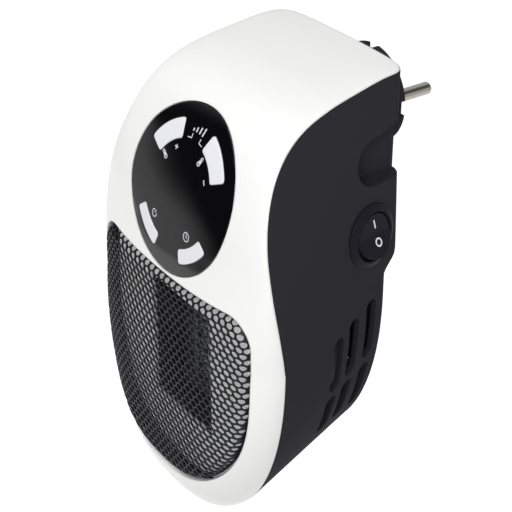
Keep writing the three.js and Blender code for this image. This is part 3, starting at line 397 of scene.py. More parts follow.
def follow(obj, skin, reach):
    """Faces that lie along a skin take its smooth directions, so cuts leave no marks on its shading."""
    mesh = obj.data
    mesh.update()
    skin_normals = {}
    for v in mesh.vertices:
        _, n, distance = skin.nearest(v.co)
        if distance < reach:
            skin_normals[v.index] = n
    custom = [Vector(c.vector) for c in mesh.corner_normals]
    for poly in mesh.polygons:
        for k in poly.loop_indices:
            n = skin_normals.get(mesh.loops[k].vertex_index)
            if n is not None and n.dot(poly.normal) > SAME_WAY:
                custom[k] = n
    mesh.normals_split_custom_set([tuple(n) for n in custom])
    return obj


# ---- Panel plane and switch plane ----
PANEL_AT, PANEL_TILT = Vector((0, -85, -15)), math.radians(68.7)
PANEL_RADIUS, PANEL_WALL, PANEL_GAP, PANEL_SIDES = 30.5, 1.3, 0.22, 160
PANEL_CUT, KEY_CUT = 16, 14
PANEL_UP = Vector((0, math.cos(PANEL_TILT), math.sin(PANEL_TILT)))
PANEL_OUT = Vector((0, -math.sin(PANEL_TILT), math.cos(PANEL_TILT)))


def on_panel(u, v, w):
    """A point from the panel's own plane: across, up the slope, and out."""
    return PANEL_AT + Vector((1, 0, 0)) * u + PANEL_UP * v + PANEL_OUT * w


def switch_frame():
    """The switch's place on the side wall, with its ways to the rear, up and out."""
    y, z, step = -32.6, -31.6, 0.3
    slope_y = (side_at(y + step, z) - side_at(y - step, z)) / (2 * step)
    slope_z = (side_at(y, z + step) - side_at(y, z - step)) / (2 * step)
    out = Vector((1, -slope_y, -slope_z)).normalized()
    back = Vector((0, 0, 1)).cross(out).normalized()
    return Vector((side_at(y, z), y, z)), back, out.cross(back), out


SWITCH_AT, SWITCH_BACK, SWITCH_UP, SWITCH_OUT = switch_frame()


def on_switch(u, v, w):
    """A point from the switch's own plane: to the rear, up, and out of the side wall."""
    return SWITCH_AT + SWITCH_BACK * u + SWITCH_UP * v + SWITCH_OUT * w


FRONT = front_grid()
FRONT_OUT = grid_normals(FRONT, -1)
FRONT_SKIN = Skin(FRONT, FRONT_OUT)


def drop(u, v, height):
    """The point over the shell's surface, at a height, that lies under a point of the panel's plane."""
    hit, n = FRONT_SKIN.along(on_panel(u, v, 30) * MM, -PANEL_OUT)
    return hit / MM + n * height


# ---- Front shell ----
def inner_front(wall):
    """The shell's inner surface, kept in front of the seam where the body's wall stands under it."""
    grid = FRONT - FRONT_OUT * wall
    for i, ((w, y, z, _, _), (oy, oz)) in enumerate(zip(ROWS, OUT)):
        height = (grid[i, :, 1] - y) * oy + (grid[i, :, 2] - z) * oz
        low = (height < 0) & (np.abs(grid[i, :, 0]) > w - SHELL_WALL)
        grid[i, low, 1] -= height[low] * oy
        grid[i, low, 2] -= height[low] * oz
    return grid


OUTLET_HALF, OUTLET_CORNER, OUTLET_TOP, OUTLET_DROOP = 48.2, 11, -44.7, 1.2
OUTLET_FOOT, OUTLET_BOTTOM, FOOT_POWER, OUTLET_FRONT, OUTLET_REAR = 72, 129.5, 2.3, -130, -60
TOP_STEPS, BEND_STEPS, FOOT_STEPS = 24, 12, 72


def superellipse(half_x, half_z, middle, start, end, count, power):
    """Points on part of an ellipse that a power over 2 makes squarer."""
    points = []
    for k in range(count + 1):
        t = mix(start, end, k / count)
        c, s = math.cos(t), math.sin(t)
        points.append((half_x * math.copysign(abs(c) ** (2 / power), c),
                       middle + half_z * math.copysign(abs(s) ** (2 / power), s)))
    return points


def outlet_outline():
    """The outlet's outline in X and Z: a drooping top edge, round corners and a deep round foot."""
    straight, middle = OUTLET_HALF - OUTLET_CORNER, OUTLET_TOP - OUTLET_CORNER
    points = []
    for k in range(TOP_STEPS + 1):
        x = straight * (1 - 2 * k / TOP_STEPS)
        points.append((x, OUTLET_TOP - OUTLET_DROOP * (1 - (x / straight) ** 2)))
    for k in range(1, BEND_STEPS + 1):
        t = math.pi / 2 * (1 + k / BEND_STEPS)
        points.append((-straight + OUTLET_CORNER * math.cos(t), middle + OUTLET_CORNER * math.sin(t)))
    points += superellipse(OUTLET_HALF, OUTLET_BOTTOM - OUTLET_FOOT, -OUTLET_FOOT, math.pi, 2 * math.pi,
                           FOOT_STEPS, FOOT_POWER)
    for k in range(BEND_STEPS):
        t = math.pi / 2 * k / BEND_STEPS
        points.append((straight + OUTLET_CORNER * math.cos(t), middle + OUTLET_CORNER * math.sin(t)))
    return points


shell = slab("shell_surface", FRONT, inner_front(SHELL_WALL))
hole = rod("panel hole", PANEL_RADIUS + PANEL_GAP, -PANEL_CUT, PANEL_CUT, PANEL_SIDES, on_panel)
mouth = prism("outlet hole", outlet_outline(), OUTLET_FRONT, OUTLET_REAR, along_y)
combine(shell, [hole, mouth], "DIFFERENCE")
follow(shade(shell), FRONT_SKIN, NEAR)

# ---- Control panel and buttons ----
# Inner and outer radius, direction of the middle and angle taken up
BUTTONS = {
    "warmer_button": (17.6, 25.0, 132, 43), "cooler_button": (17.6, 25.0, 48, 43),
    "power_button": (20.9, 26.2, -126.5, 37), "timer_button": (20.9, 26.2, -53.5, 37),
}
KEY_CORNER, KEY_CORNER_STEPS, KEY_END_STEPS, KEY_SIDE_STEPS = 1.1, 5, 6, 22


def segment(inner, outer, middle, span, grow=0.0):
    """A ring segment's outline in the panel's plane, with round corners."""
    radius = (inner + outer) / 2
    half = math.radians(span) / 2 * radius
    low, high, side = inner - grow, outer + grow, half + grow
    corner = max(0.05, min(KEY_CORNER + grow, (high - low) / 2 - 0.01, side - 0.01))
    points, counts = [], []
    for r_sign, s_sign, start, run in ((1, 1, 0, KEY_END_STEPS), (-1, 1, 90, KEY_SIDE_STEPS),
                                       (-1, -1, 180, KEY_END_STEPS), (1, -1, 270, KEY_SIDE_STEPS)):
        r0 = (high if r_sign > 0 else low) - r_sign * corner
        s0 = s_sign * (side - corner)
        for k in range(KEY_CORNER_STEPS + 1):
            t = math.radians(start + 90 * k / KEY_CORNER_STEPS)
            points.append((r0 + corner * math.cos(t), s0 + corner * math.sin(t)))
        counts += [1] * KEY_CORNER_STEPS + [run]
    filled = []
    for (r0, s0), (r1, s1), count in zip(points, points[1:] + points[:1], counts):
        filled += [(mix(r0, r1, k / count), mix(s0, s1, k / count)) for k in range(count)]
    turn = math.radians(middle)
    return [(r * math.cos(turn + s / radius), r * math.sin(turn + s / radius)) for r, s in filled]


def dropped_rings(name, rings):
    """A closed piece from rings of (outline, height over the surface), first and last filled in."""
    verts = [drop(u, v, h) for outline, h in rings for u, v in outline]
    n, count = len(rings[0][0]), len(rings)
    faces = [tuple(range(n - 1, -1, -1)), tuple(range((count - 1) * n, count * n))]
    return weld(new_object(name, verts, faces + ring_faces(count, n)))


lens_rings = [(PANEL_RADIUS - 0.6, -PANEL_WALL), (PANEL_RADIUS, -PANEL_WALL + 0.3)]
lens_rings += [(PANEL_RADIUS - 0.7 * (1 - math.sin(t)), -0.45 * (1 - math.cos(t)) - 0.02)
               for t in np.radians([80, 60, 40, 20, 0])]
lens_rings += [(r, -0.02) for r in (28.5, 26, 23, 20, 17, 14, 11, 8, 5, 2, 0.5)]
panel = dropped_rings("panel_lens", [(circle(r, PANEL_SIDES), h) for r, h in lens_rings])
slots = [prism(name + " slot", segment(*shape, grow=PANEL_GAP), -KEY_CUT, KEY_CUT, on_panel)
         for name, shape in BUTTONS.items()]
combine(panel, slots, "DIFFERENCE")
follow(shade(panel, 40), FRONT_SKIN, NEAR_LENS)
# How far each ring of a key grows from its outline, and its height over the shell's surface
KEY_RINGS = [(0, -2.4), (0, -0.12), (-0.09, 0.02), (-0.3, 0.1)]
KEY_RINGS += [(-g, 0.1) for g in (0.7, 1.2, 1.7, 2.2, 2.55)]
buttons = {}
for name, shape in BUTTONS.items():
    rings = [(segment(*shape, grow=grow), height) for grow, height in KEY_RINGS]
    buttons[name] = shade(dropped_rings(name + "_cap", rings), 50)


# ---- Outlet grille: a domed sheet of round holes with its edge bent back under the shell ----
# Steps between columns, the narrower ones beyond column SIDE_FROM, and between rows
COLUMN, SIDE_COLUMN, SIDE_FROM, ROW, HOLE_SHARE, HOLE_SIDES = 3.52, 3.2, 9, 2.29, 0.43, 24
FIRST_COLUMN, FIRST_ROW, LIFT, DROOP, DROOP_ROWS, DROOP_HALF = 1.0, -48.7, 0.3, 1.6, 4, 36
# Cells reach this far outside the outlet, and a hole lies at least this far inside it
OVERHANG, HOLE_MARGIN = 2, 0.4
# The sheet stands proud of the housing's surface, softly held behind the part's most forward depth
GRILLE_WALL, GRILLE_GAP, BEND, PROUD, FRONT_LIMIT, SOFTNESS = 0.65, 0.4, 4.4, 0.7, -97.2, 0.6


def inside_by(points, outline):
    """How far inside an outline each point lies, negative outside it, and the way in."""
    a = np.array(outline)
    b = np.roll(a, -1, axis=0)
    nearest = np.full(len(points), np.inf)
    way = np.zeros((len(points), 2))
    inside = np.zeros(len(points), bool)
    for (ax, ay), (bx, by) in zip(a, b):
        run = np.array([bx - ax, by - ay])
        t = np.clip(((points - [ax, ay]) @ run) / max(run @ run, 1e-12), 0, 1)
        off = points - [ax, ay] - t[:, None] * run
        long = np.linalg.norm(off, axis=1)
        closer = long < nearest
        nearest = np.where(closer, long, nearest)
        way[closer] = off[closer] / np.maximum(long[closer, None], 1e-9)
        if ay != by:
            across = ax + (points[:, 1] - ay) / (by - ay) * (bx - ax)
            inside ^= ((ay > points[:, 1]) != (by > points[:, 1])) & (points[:, 0] < across)
    sign = np.where(inside, 1, -1)
    return nearest * sign, way * sign[:, None]


def on_lattice(u, v):
    """The place in X and Z of a point of the hole pattern, counted in columns and in rows downwards."""
    side = min(abs(u), SIDE_FROM) * COLUMN + max(0.0, abs(u) - SIDE_FROM) * SIDE_COLUMN
    x = math.copysign(side, u)
    rise = LIFT - DROOP * (1 - smooth(clamp(abs(x) / DROOP_HALF)))
    return x + FIRST_COLUMN, FIRST_ROW - v * ROW + rise * (1 - smooth(clamp(v / DROOP_ROWS)))


def mesh_sheet():
    """The perforated sheet, one six-sided cell with a round hole after another."""
    outline = outlet_outline()
    cells = [(c + 0.5 * (r % 2), r) for r in range(-3, 38) for c in range(-16, 17)]
    centres = np.array([on_lattice(*cell) for cell in cells])
    depths = inside_by(centres, outline)[0]
    row_rise = math.sin(math.pi / 3)
    verts, faces = [], []
    for (cu, cv), depth in zip(cells, depths):
        if depth < -OVERHANG:
            continue
        hole = HOLE_SHARE if depth > HOLE_MARGIN else 0
        start = len(verts)
        for k in range(HOLE_SIDES):
            t = 2 * math.pi * k / HOLE_SIDES
            # The cell's side lies half way to the next hole
            edge = 0.5 / math.cos(math.radians((math.degrees(t) + 30) % 60 - 30))
            verts += [on_lattice(cu + r * math.cos(t), cv + r * math.sin(t) / row_rise) for r in (hole, edge)]
        for k in range(HOLE_SIDES):
            a, b = start + 2 * k, start + 2 * ((k + 1) % HOLE_SIDES)
            faces.append((a, b, b + 1, a + 1))
    flat = np.array(verts)
    # Near the edge the sheet bends back through a quarter turn and then runs straight in
    within, way = inside_by(flat, outline)
    radius = BEND - GRILLE_GAP
    run = np.maximum(0, BEND - within)
    turn = np.minimum(run / radius, math.pi / 2)
    flat += way * (np.where(run > 0, BEND - radius * np.sin(turn), within) - within)[:, None]
    sink = radius * (1 - np.cos(turn)) + np.maximum(0, run - radius * math.pi / 2)
    points = []
    for (x, z), down in zip(flat, sink):
        hit, n = FRONT_SKIN.along(Vector((x, -140, z)) * MM, Vector((0, 1, 0)))
        limits = (PROUD, hit.y / MM - FRONT_LIMIT)
        rise = -SOFTNESS * math.log(sum(math.exp(-limit / SOFTNESS) for limit in limits))
        points.append(hit / MM + n * (rise - float(down)))
    obj = weld(new_object("wire_grille", points, faces), 2e-6)
    solid = obj.modifiers.new("wall", "SOLIDIFY")
    solid.thickness = GRILLE_WALL * MM
    solid.offset = 0
    return shade(settle(obj), 50)


grille = mesh_sheet()


# ---- Rear body ----
CAVITY_LIFT, OUTSIDE = 2.0, 70
GRIP_RADIUS, GRIP_Y, GRIP_Z, GRIP_TOP, GRIP_FLOOR, GRIP_WALL, GRIP_STEPS = 8.8, -29.2, -5.2, 7, 30.4, 2, 24
# The case screws' places in X and Z, with the posts that carry them
POSTS = ((30.2, 14.2), (-30.2, 14.2), (0, -136.6))
POST_RADIUS, POST_FRONT, POST_REAR, BORE_RADIUS, BORE_FRONT = 4.2, -52, -10, 3.1, -48
# Each vent's depth, top and bottom
VENTS = ((30.5, 59.3, 85.3), (40.7, 62.1, 87.4), (49.6, 65.5, 89.8), (30.5, 88.4, 111.5), (40.7, 90.5, 110.8),
         (49.6, 92.9, 112.4))
VENT_HALF, VENT_FLOOR = 2.85, 25
SLOTS, SLOT_TOP, SLOT_STEP, SLOT_HALF, SLOT_RUN = 7, -62, 6.4, 1.3, 18.7
SWITCH_HOLE, SWITCH_CUT, NECK_HOLE, NECK_FRONT, REAR_CUT = 10.1, 13, 14.3, -19, -30


def body_solid(name, inset, lift):
    """The body as a full solid, closed by straight lines from rim to rim."""
    grid = body_grid(inset, lift)
    t = np.linspace(0, 1, grid.shape[1])[None, :, None]
    return slab(name, grid, grid[:, :1] * (1 - t) + grid[:, -1:] * t)


def room(cut_in):
    """The space inside the body's wall, which may reach a little way into the wall."""
    return body_solid("room", BODY_WALL - cut_in, CAVITY_LIFT)


def grip(name, side, grow=0):
    """The space of a finger recess on one side, open to the rear."""
    radius = GRIP_RADIUS + grow
    outline = [(1, GRIP_Z - radius)]
    for k in range(GRIP_STEPS + 1):
        t = -math.pi / 2 - math.pi * k / GRIP_STEPS
        outline.append((GRIP_Y + radius * math.cos(t), GRIP_Z + radius * math.sin(t)))
    outline += [(-REAR, GRIP_TOP + grow), (1, GRIP_TOP + grow)]
    return prism(name, outline, side * (GRIP_FLOOR - grow), side * OUTSIDE, along_x)


def vent(side, y, top, bottom):
    """The space of an upright vent slot with round ends."""
    outline = [(-y + VENT_HALF * math.cos(t), middle + VENT_HALF * math.sin(t))
               for middle, start in ((-top - VENT_HALF, 0), (-bottom + VENT_HALF, math.pi))
               for t in np.linspace(start, start + math.pi, 13)]
    return prism("vent", outline, side * VENT_FLOOR, side * OUTSIDE, along_x)


def rear_slot(k):
    """The space of a level intake slot in the rear wall, counted downwards."""
    z = SLOT_TOP - SLOT_STEP * k - SLOT_HALF
    outline = arc(SLOT_RUN, z, SLOT_HALF, -90, 90, 9) + arc(-SLOT_RUN, z, SLOT_HALF, 90, 270, 9)
    return prism("rear slot", outline, REAR_CUT, 0, along_y)


def merge(obj, others):
    """Adds the others' meshes to obj as they are."""
    bm = bmesh.new()
    for part in [obj, *others]:
        bm.from_mesh(part.data)
    bm.to_mesh(obj.data)
    bm.free()
    for other in others:
        bpy.data.objects.remove(other)
    return obj


body = combine(body_solid("body_surface", 0, -SEAM), [room(0)], "DIFFERENCE")
# Walls of the recesses and screw posts, from just inside the wall that carries them
inner_parts = []
for s in (1, -1):
    wall = combine(grip("recess_wall", s, GRIP_WALL), [room(0.1)], "INTERSECT")
    inner_parts.append(combine(wall, [grip("grip", s)], "DIFFERENCE"))
for x, z in POSTS:
    post = combine(rod_y("post", POST_RADIUS, POST_FRONT, POST_REAR, x, z), [room(0.1)], "INTERSECT")
    inner_parts.append(combine(post, [rod_y("counterbore", BORE_RADIUS, BORE_FRONT, 0, x, z)], "DIFFERENCE"))
cuts = [grip("grip", s) for s in (1, -1)]
cuts += [vent(s, *place) for s in (1, -1) for place in VENTS]
cuts += [rear_slot(k) for k in range(SLOTS)]
cuts.append(rod("switch hole", SWITCH_HOLE, -SWITCH_CUT, SWITCH_CUT, SIDES, on_switch))
cuts.append(rod_y("neck hole", NECK_HOLE, NECK_FRONT, 0, 0, 0, SIDES))
cuts += [rod_y("counterbore", BORE_RADIUS, REAR_CUT, 0, x, z) for x, z in POSTS]
combine(body, cuts, "DIFFERENCE")
merge(body, inner_parts)
BODY = body_grid(0, -SEAM)
follow(shade(body, 35), Skin(BODY, grid_normals(BODY, 1)), NEAR)


# ---- Rocker switch ----
ring_profile = [(0, -13), (9.8, -13), (9.8, -0.4), (11.6, -0.4)]
ring_profile += arc(11.4, 0.45, 0.6, 0, 70, 6) + arc(9.6, 1.55, 0.5, 70, 175, 8)
ring_profile += [(8.95, 0.6), (8.95, -11), (0, -11)]
flange = shade(lathe("switch_ring", ring_profile, FINE_SIDES, on_switch), 45)
HINGE, VALLEY, VALLEY_SOFTNESS, TILT = 0.5, 1.9, 0.5, math.radians(12)
# The top runs flat to a radius and rounds over within the ball that the rocker turns in
FLAT_RADIUS, ROUNDING, TOP_BALL, SKIRT_BALL = 7.8, 0.75, 8.58, 8.55


def rocker_point(u, v, h):
    """A point of the rocker in its own frame about the hinge, turned to its rest."""
    c, s = math.cos(-TILT), math.sin(-TILT)
    return on_switch(u, v * c - h * s, v * s + h * c + HINGE)


def rocker_height(v):
    """The height of the rocker's two sloping halves over the hinge, with a soft valley between them."""
    slope = math.sqrt(v * v + VALLEY_SOFTNESS) - math.sqrt(VALLEY_SOFTNESS)
    return VALLEY - HINGE + slope * math.tan(TILT)


def rocker_mesh():
    """A round button with two sloping halves that meet in a shallow valley, and rounded edges."""
    rings = [(r, 0.0) for r in (1.2, 2.4, 3.6, 4.8, 6, 7, FLAT_RADIUS)]
    rings += [(FLAT_RADIUS + ROUNDING * math.sin(t), -ROUNDING * (1 - math.cos(t)))
              for t in np.radians([20, 40, 60, 75, 90])]
    verts = []
    for r, down in rings:
        for u, v in circle(r, SIDES):
            top = rocker_height(v) + down
            shrink = min(1.0, math.sqrt(max(0.0, TOP_BALL**2 - top * top)) / r)
            verts.append((u * shrink, v * shrink, top))
    for h in (-1.5, -3.5, -5.4):
        verts += [(u, v, h) for u, v in circle(math.sqrt(SKIRT_BALL**2 - h * h), SIDES)]
    last = len(verts) - SIDES
    faces = [tuple(range(SIDES)), tuple(range(last, len(verts)))]
    faces += ring_faces(len(verts) // SIDES, SIDES)
    return weld(new_object("rocker_cap", [rocker_point(*v) for v in verts], faces))


rocker = shade(rocker_mesh(), 50)


# ---- Marks: thin raised shapes that follow the surface under them ----
MARK_HEIGHT, LINE = 0.05, 0.36


def strip(points, width, closed=False):
    """A flat line of a width through 2-D points, as (outline points, faces)."""
    pts = [Vector(p) for p in points]
    n = len(pts)
    verts, faces = [], []
    for k, p in enumerate(pts):
        before = pts[k - 1] if (closed or k) else p
        after = pts[(k + 1) % n] if (closed or k < n - 1) else p
        run = (after - before).normalized()
        side = Vector((-run.y, run.x)) * width / 2
        if 0 < k < n - 1 or closed:
            first = (p - before).normalized()
            side /= max(0.5, run.dot(first))
        verts += [p + side, p - side]
    for k in range(n if closed else n - 1):
        m = (k + 1) % n
        faces.append((2 * k, 2 * k + 1, 2 * m + 1, 2 * m))
    return verts, faces


def marks(name, strips, place):
    """Strips joined into one thin raised object; place turns (u, v, height) into a point."""
    verts, faces = [], []
    for flat, quads in strips:
        n, start = len(flat), len(verts)
        verts += [place(p.x, p.y, h) for h in (MARK_HEIGHT, -MARK_HEIGHT) for p in flat]
        for q in quads:
            faces.append(tuple(start + k for k in q))
            faces.append(tuple(start + n + k for k in reversed(q)))
        # Edges that no neighbour shares, in the same order each time, get a side wall
        edges = dict.fromkeys(edge for q in quads for edge in zip(q, q[1:] + q[:1]))
        faces += [(start + b, start + a, start + n + a, start + n + b)
                  for a, b in edges if (b, a) not in edges]
    obj = new_object(name, verts, faces)
    bm = bmesh.new()
    bm.from_mesh(obj.data)
    bmesh.ops.recalc_face_normals(bm, faces=bm.faces)
    bm.to_mesh(obj.data)
    bm.free()
    return obj


def polar(radius, degrees):
    """A point of the panel's plane at a distance and a direction from its middle."""
    t = math.radians(degrees)
    return Vector((radius * math.cos(t), radius * math.sin(t)))


def turned(points, centre, degrees):
    """Points turned about zero and moved to a centre."""
    c, s = math.cos(math.radians(degrees)), math.sin(math.radians(degrees))
    return [Vector((centre.x + p[0] * c - p[1] * s, centre.y + p[0] * s + p[1] * c)) for p in points]


def thermometer(centre, degrees):
    """A small thermometer: a stem with a bulb."""
    stem = arc(0, 1.35, 0.42, 0, 180, 8) + [(-0.42, -0.55)]
    stem += arc(0, -1.1, 0.72, 130, 410, 16) + [(0.42, -0.55)]
    return [strip(turned(stem, centre, degrees), LINE, True),
            strip(turned([(0, -1.1), (0, 0.6)], centre, degrees), LINE)]


# Warmer: a thermometer and a plus; cooler: a thermometer and a minus
panel_marks = thermometer(polar(14.9, 147), 147 - 90)
panel_marks += [strip([polar(14.7, 120) + Vector((-0.95, 0)), polar(14.7, 120) + Vector((0.95, 0))], 0.42),
                strip([polar(14.7, 120) + Vector((0, -0.95)), polar(14.7, 120) + Vector((0, 0.95))], 0.42)]
panel_marks += thermometer(polar(14.9, 60), 60 - 90)
panel_marks += [strip(turned([(-0.95, 0), (0.95, 0)], polar(14.7, 30), -60), 0.42)]
# Rising bars for the fan's speed, with a small bracket towards each upper button
for k, high in enumerate((1.0, 1.7, 2.4, 3.1)):
    foot = polar(20.9, 95.5 - 5 * k)
    panel_marks.append(strip([foot, foot + (foot.normalized() * high)], 0.62))
for start, side in ((98, 1), (76, -1)):
    corner = polar(18.4, start - side * 3.5)
    panel_marks.append(strip([polar(18.4, start + side * 3), corner, polar(20.0, start - side * 3.5)], 0.34))
# Power sign
power = polar(17.2, -128)
panel_marks += [strip(turned(arc(0, 0, 1.35, 125, 415, 24), power, -38), LINE),
                strip(turned([(0, 0.35), (0, 1.75)], power, -38), LINE)]
# Clock for the timer
clock = polar(17.1, -53.5)
panel_marks += [strip(turned(arc(0, 0, 1.6, 0, 352, 32), clock, 0), LINE, True),
                strip(turned([(0, 1.0), (0, 0), (0.75, -0.35)], clock, 0), 0.34)]
signs = marks("panel_signs", panel_marks, drop)
on_off = marks("rocker_signs", [
    strip([(0.7, 2.7), (0.3, 4.35), (-0.1, 6.0)], 0.64),
    strip(arc(1.0, -2.7, 1.35, 0, 348, 32), 0.6, True),
], lambda u, v, h: rocker_point(u, v, rocker_height(v) + h))


# ---- Wall plug ----
PIN_PLACE, PIN_RADIUS, PIN_LENGTH, PIN_TIP, PIN_HOLE = 9.5, 2.4, 19, 1.4, 2.65
SCREW_PLACE, PILOT, CLIP_FRONT, CLIP_REAR, CLIP_OUTSIDE = 11, 1.6, -12.6, 2, 30


def plug_solid():
    """The plug's body with its pin holes, screw holes and the notches and grooves of its earth clips."""
    profile = [(0, -17.7), (13.6, -17.7), (14, -17.3), (14, -14.9), (16.2, -14.9)]
    profile += arc(16.4, -14.3, 0.6, -90, 0, 4) + [(17, -9.4), (17.6, -8.6)]
    profile += arc(18.4, -8, 0.6, -90, 0, 4) + arc(18.2, -0.8, 0.8, 0, 90, 6) + [(0, 0)]
    obj = lathe("plug_surface", profile, FINE_SIDES, lambda u, v, h: (u, h, v))
    cuts = []
    for s in (1, -1):
        notch = [(-2.6, s * 15.8), (2.6, s * 15.8), (2.6, s * CLIP_OUTSIDE), (-2.6, s * CLIP_OUTSIDE)]
        groove = [(s * 16.4, -3), (s * CLIP_OUTSIDE, -3), (s * CLIP_OUTSIDE, 3), (s * 16.4, 3)]
        cuts.append(rod_y("pin hole", PIN_HOLE, -6.3, 2, s * PIN_PLACE, 0, 32))
        cuts.append(rod_y("pilot", PILOT, -19, -9.7, 0, s * SCREW_PLACE, 16))
        cuts.append(prism("notch", notch, CLIP_FRONT, CLIP_REAR, along_y))
        cuts.append(prism("groove", groove, CLIP_FRONT, CLIP_REAR, along_y))
    return shade(combine(obj, cuts, "DIFFERENCE"), 35)


def round_pin(side):
    """A steel pin with a rounded tip."""
    profile = [(0, -6), (PIN_RADIUS, -6), (PIN_RADIUS, 17.2)]
    profile += arc(PIN_RADIUS - PIN_TIP, PIN_LENGTH - PIN_TIP, PIN_TIP, 0, 90, 8) + [(0, PIN_LENGTH)]
    return shade(lathe("round_pin", profile, 40, lambda u, v, h: (u + PIN_PLACE * side, h, v)), 40)


plug = plug_solid()
pins = [round_pin(s) for s in (1, -1)]


# ---- Materials ----
COAT_ROUGHNESS, GRAIN_SCALE, GRAIN_DEPTH = 0.04, 2600, 0.05


def material(name, color, rough, metal=0.0, coat=0.0, spread=0.03, scale=60.0, bump=0.0, edge=0.0,
             specular=0.5):
    """A procedural finish: fine changes in roughness, an optional grain, and optional soft edges."""
    made = bpy.data.materials.new(name)
    made.use_nodes = True
    nodes, links = made.node_tree.nodes, made.node_tree.links
    shader = nodes["Principled BSDF"]
    shader.inputs["Base Color"].default_value = (*color, 1)
    shader.inputs["Metallic"].default_value = metal
    shader.inputs["Coat Weight"].default_value = coat
    shader.inputs["Coat Roughness"].default_value = COAT_ROUGHNESS
    shader.inputs["Specular IOR Level"].default_value = specular
    place = nodes.new("ShaderNodeTexCoord")
    noise = nodes.new("ShaderNodeTexNoise")
    noise.inputs["Scale"].default_value = scale
    noise.inputs["Detail"].default_value = 4
    links.new(place.outputs["Object"], noise.inputs["Vector"])
    span = nodes.new("ShaderNodeMapRange")
    span.inputs["To Min"].default_value = max(0.0, rough - spread)
    span.inputs["To Max"].default_value = rough + spread
    links.new(noise.outputs["Fac"], span.inputs["Value"])
    links.new(span.outputs["Result"], shader.inputs["Roughness"])
    normal = None
    if edge:
        bevel = nodes.new("ShaderNodeBevel")
        bevel.samples = 6
        bevel.inputs["Radius"].default_value = edge * MM
        normal = bevel.outputs["Normal"]
    if bump:
        grain = nodes.new("ShaderNodeTexNoise")
        grain.inputs["Scale"].default_value = GRAIN_SCALE
        grain.inputs["Detail"].default_value = 2
        links.new(place.outputs["Object"], grain.inputs["Vector"])
        raised = nodes.new("ShaderNodeBump")
        raised.inputs["Strength"].default_value = bump
        raised.inputs["Distance"].default_value = GRAIN_DEPTH * MM
        links.new(grain.outputs["Fac"], raised.inputs["Height"])
        if normal:
            links.new(normal, raised.inputs["Normal"])
        normal = raised.outputs["Normal"]
    if normal:
        links.new(normal, shader.inputs["Normal"])
    return made


gloss_white = material("gloss white", (0.84, 0.84, 0.83), 0.24, coat=0.1, spread=0.02, scale=14,
                       edge=0.9)
matt_black = material("matt charcoal", (0.03, 0.029, 0.0355), 0.7, spread=0.04, bump=0.15, edge=0.45,
                      specular=0.02)
gloss_black = material("gloss black lens", (0.0012, 0.0012, 0.002), 0.05, spread=0.01, scale=12, edge=0.2)
button_grey = material("pale grey key", (0.74, 0.74, 0.78), 0.32, spread=0.02, scale=30, edge=0.15)
print_grey = material("printed sign", (0.62, 0.62, 0.66), 0.5)
print_white = material("printed mark", (0.78, 0.78, 0.82), 0.5)
grille_black = material("black coated steel", (0.009, 0.009, 0.013), 0.45, spread=0.05, scale=400, edge=0.12,
                        specular=0.24)
white_plastic = material("white plastic", (0.94, 0.94, 0.93), 0.5, scale=40)
dark_plastic = material("black plastic", (0.012, 0.012, 0.0135), 0.42, spread=0.04, scale=90, edge=0.2)
switch_black = material("switch black", (0.0115, 0.0108, 0.0165), 0.55, spread=0.03, scale=90, bump=0.08,
                        edge=0.15, specular=0.07)
nickel = material("nickel", (0.4, 0.375, 0.34), 0.24, metal=1.0, spread=0.05, scale=180, bump=0.05)
steel = material("zinc plate", (0.5, 0.5, 0.5), 0.35, metal=1.0, spread=0.06, scale=300, edge=0.1)
brass = material("brass", (0.66, 0.5, 0.24), 0.32, metal=1.0, spread=0.06, scale=200, edge=0.1)
aluminium = material("aluminium", (0.42, 0.43, 0.45), 0.42, metal=1.0, spread=0.06, scale=260)
ceramic = material("heat-proof moulding", (0.06, 0.055, 0.05), 0.75, scale=120)
board = material("circuit board", (0.02, 0.08, 0.03), 0.4, scale=90)
copper = material("copper winding", (0.55, 0.24, 0.1), 0.35, metal=1.0, scale=500)
tape = material("yellow tape", (0.6, 0.4, 0.03), 0.5, scale=90)
insulation = material("red insulation", (0.3, 0.012, 0.012), 0.45, scale=90)

PIECES = [
    (shell, "housing", ["front_shell"], "gloss_white", gloss_white),
    (body, "housing", ["rear_body"], "matt_black", matt_black),
    (panel, "housing", ["control_panel"], "gloss_black", gloss_black),
    (grille, "housing", ["outlet_grille"], "grille_black", grille_black),
    (flange, "housing", ["switch_housing"], "dark_plastic", switch_black),
    (signs, "housing", [], None, print_grey),
    (rocker, "rocker_switch", ["rocker"], "dark_plastic", switch_black),
    (on_off, "rocker_switch", [], None, print_white),
    (plug, "plug", ["plug_body"], "matt_black", matt_black),
    (pins[0], "plug", ["plug_pin_2"], "steel", nickel),
    (pins[1], "plug", ["plug_pin_1"], "steel", nickel),
]
BUTTON_BODIES = {"warmer_button": "warmer", "cooler_button": "cooler", "power_button": "power",
                 "timer_button": "timer"}
PIECES += [(buttons[n], b, [n], "button_grey", button_grey) for n, b in BUTTON_BODIES.items()]
for obj, ridden, stood_for, slot_name, look in PIECES:
    obj.data.materials.clear()
    obj.data.materials.append(look)
    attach(obj, ridden)
    if stood_for:
        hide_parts(*stood_for)

LOOKS = {
    "white_plastic": white_plastic, "dark_plastic": dark_plastic, "steel": steel, "brass": brass,
    "aluminium": aluminium, "ceramic": ceramic, "board": board, "copper": copper, "yellow": tape,
    "lead_red": insulation, "gloss_white": gloss_white, "matt_black": matt_black, "gloss_black": gloss_black,
    "button_grey": button_grey, "grille_black": grille_black,
}
for entry in frame["record"]["subparts"]:
    node = frame["nodes"][entry["node"]]
    node.data.materials.clear()
    node.data.materials.append(LOOKS[entry["material_slot"]])


# ---- Floor, light and camera ----
FLOOR_LEVEL, FLOOR_RADII = -420, (1300, 900, 450, 20)
ROOM_LEVEL, SHADE_LEVEL, EVEN_LEVEL = 0.75, 0.1, 0.55


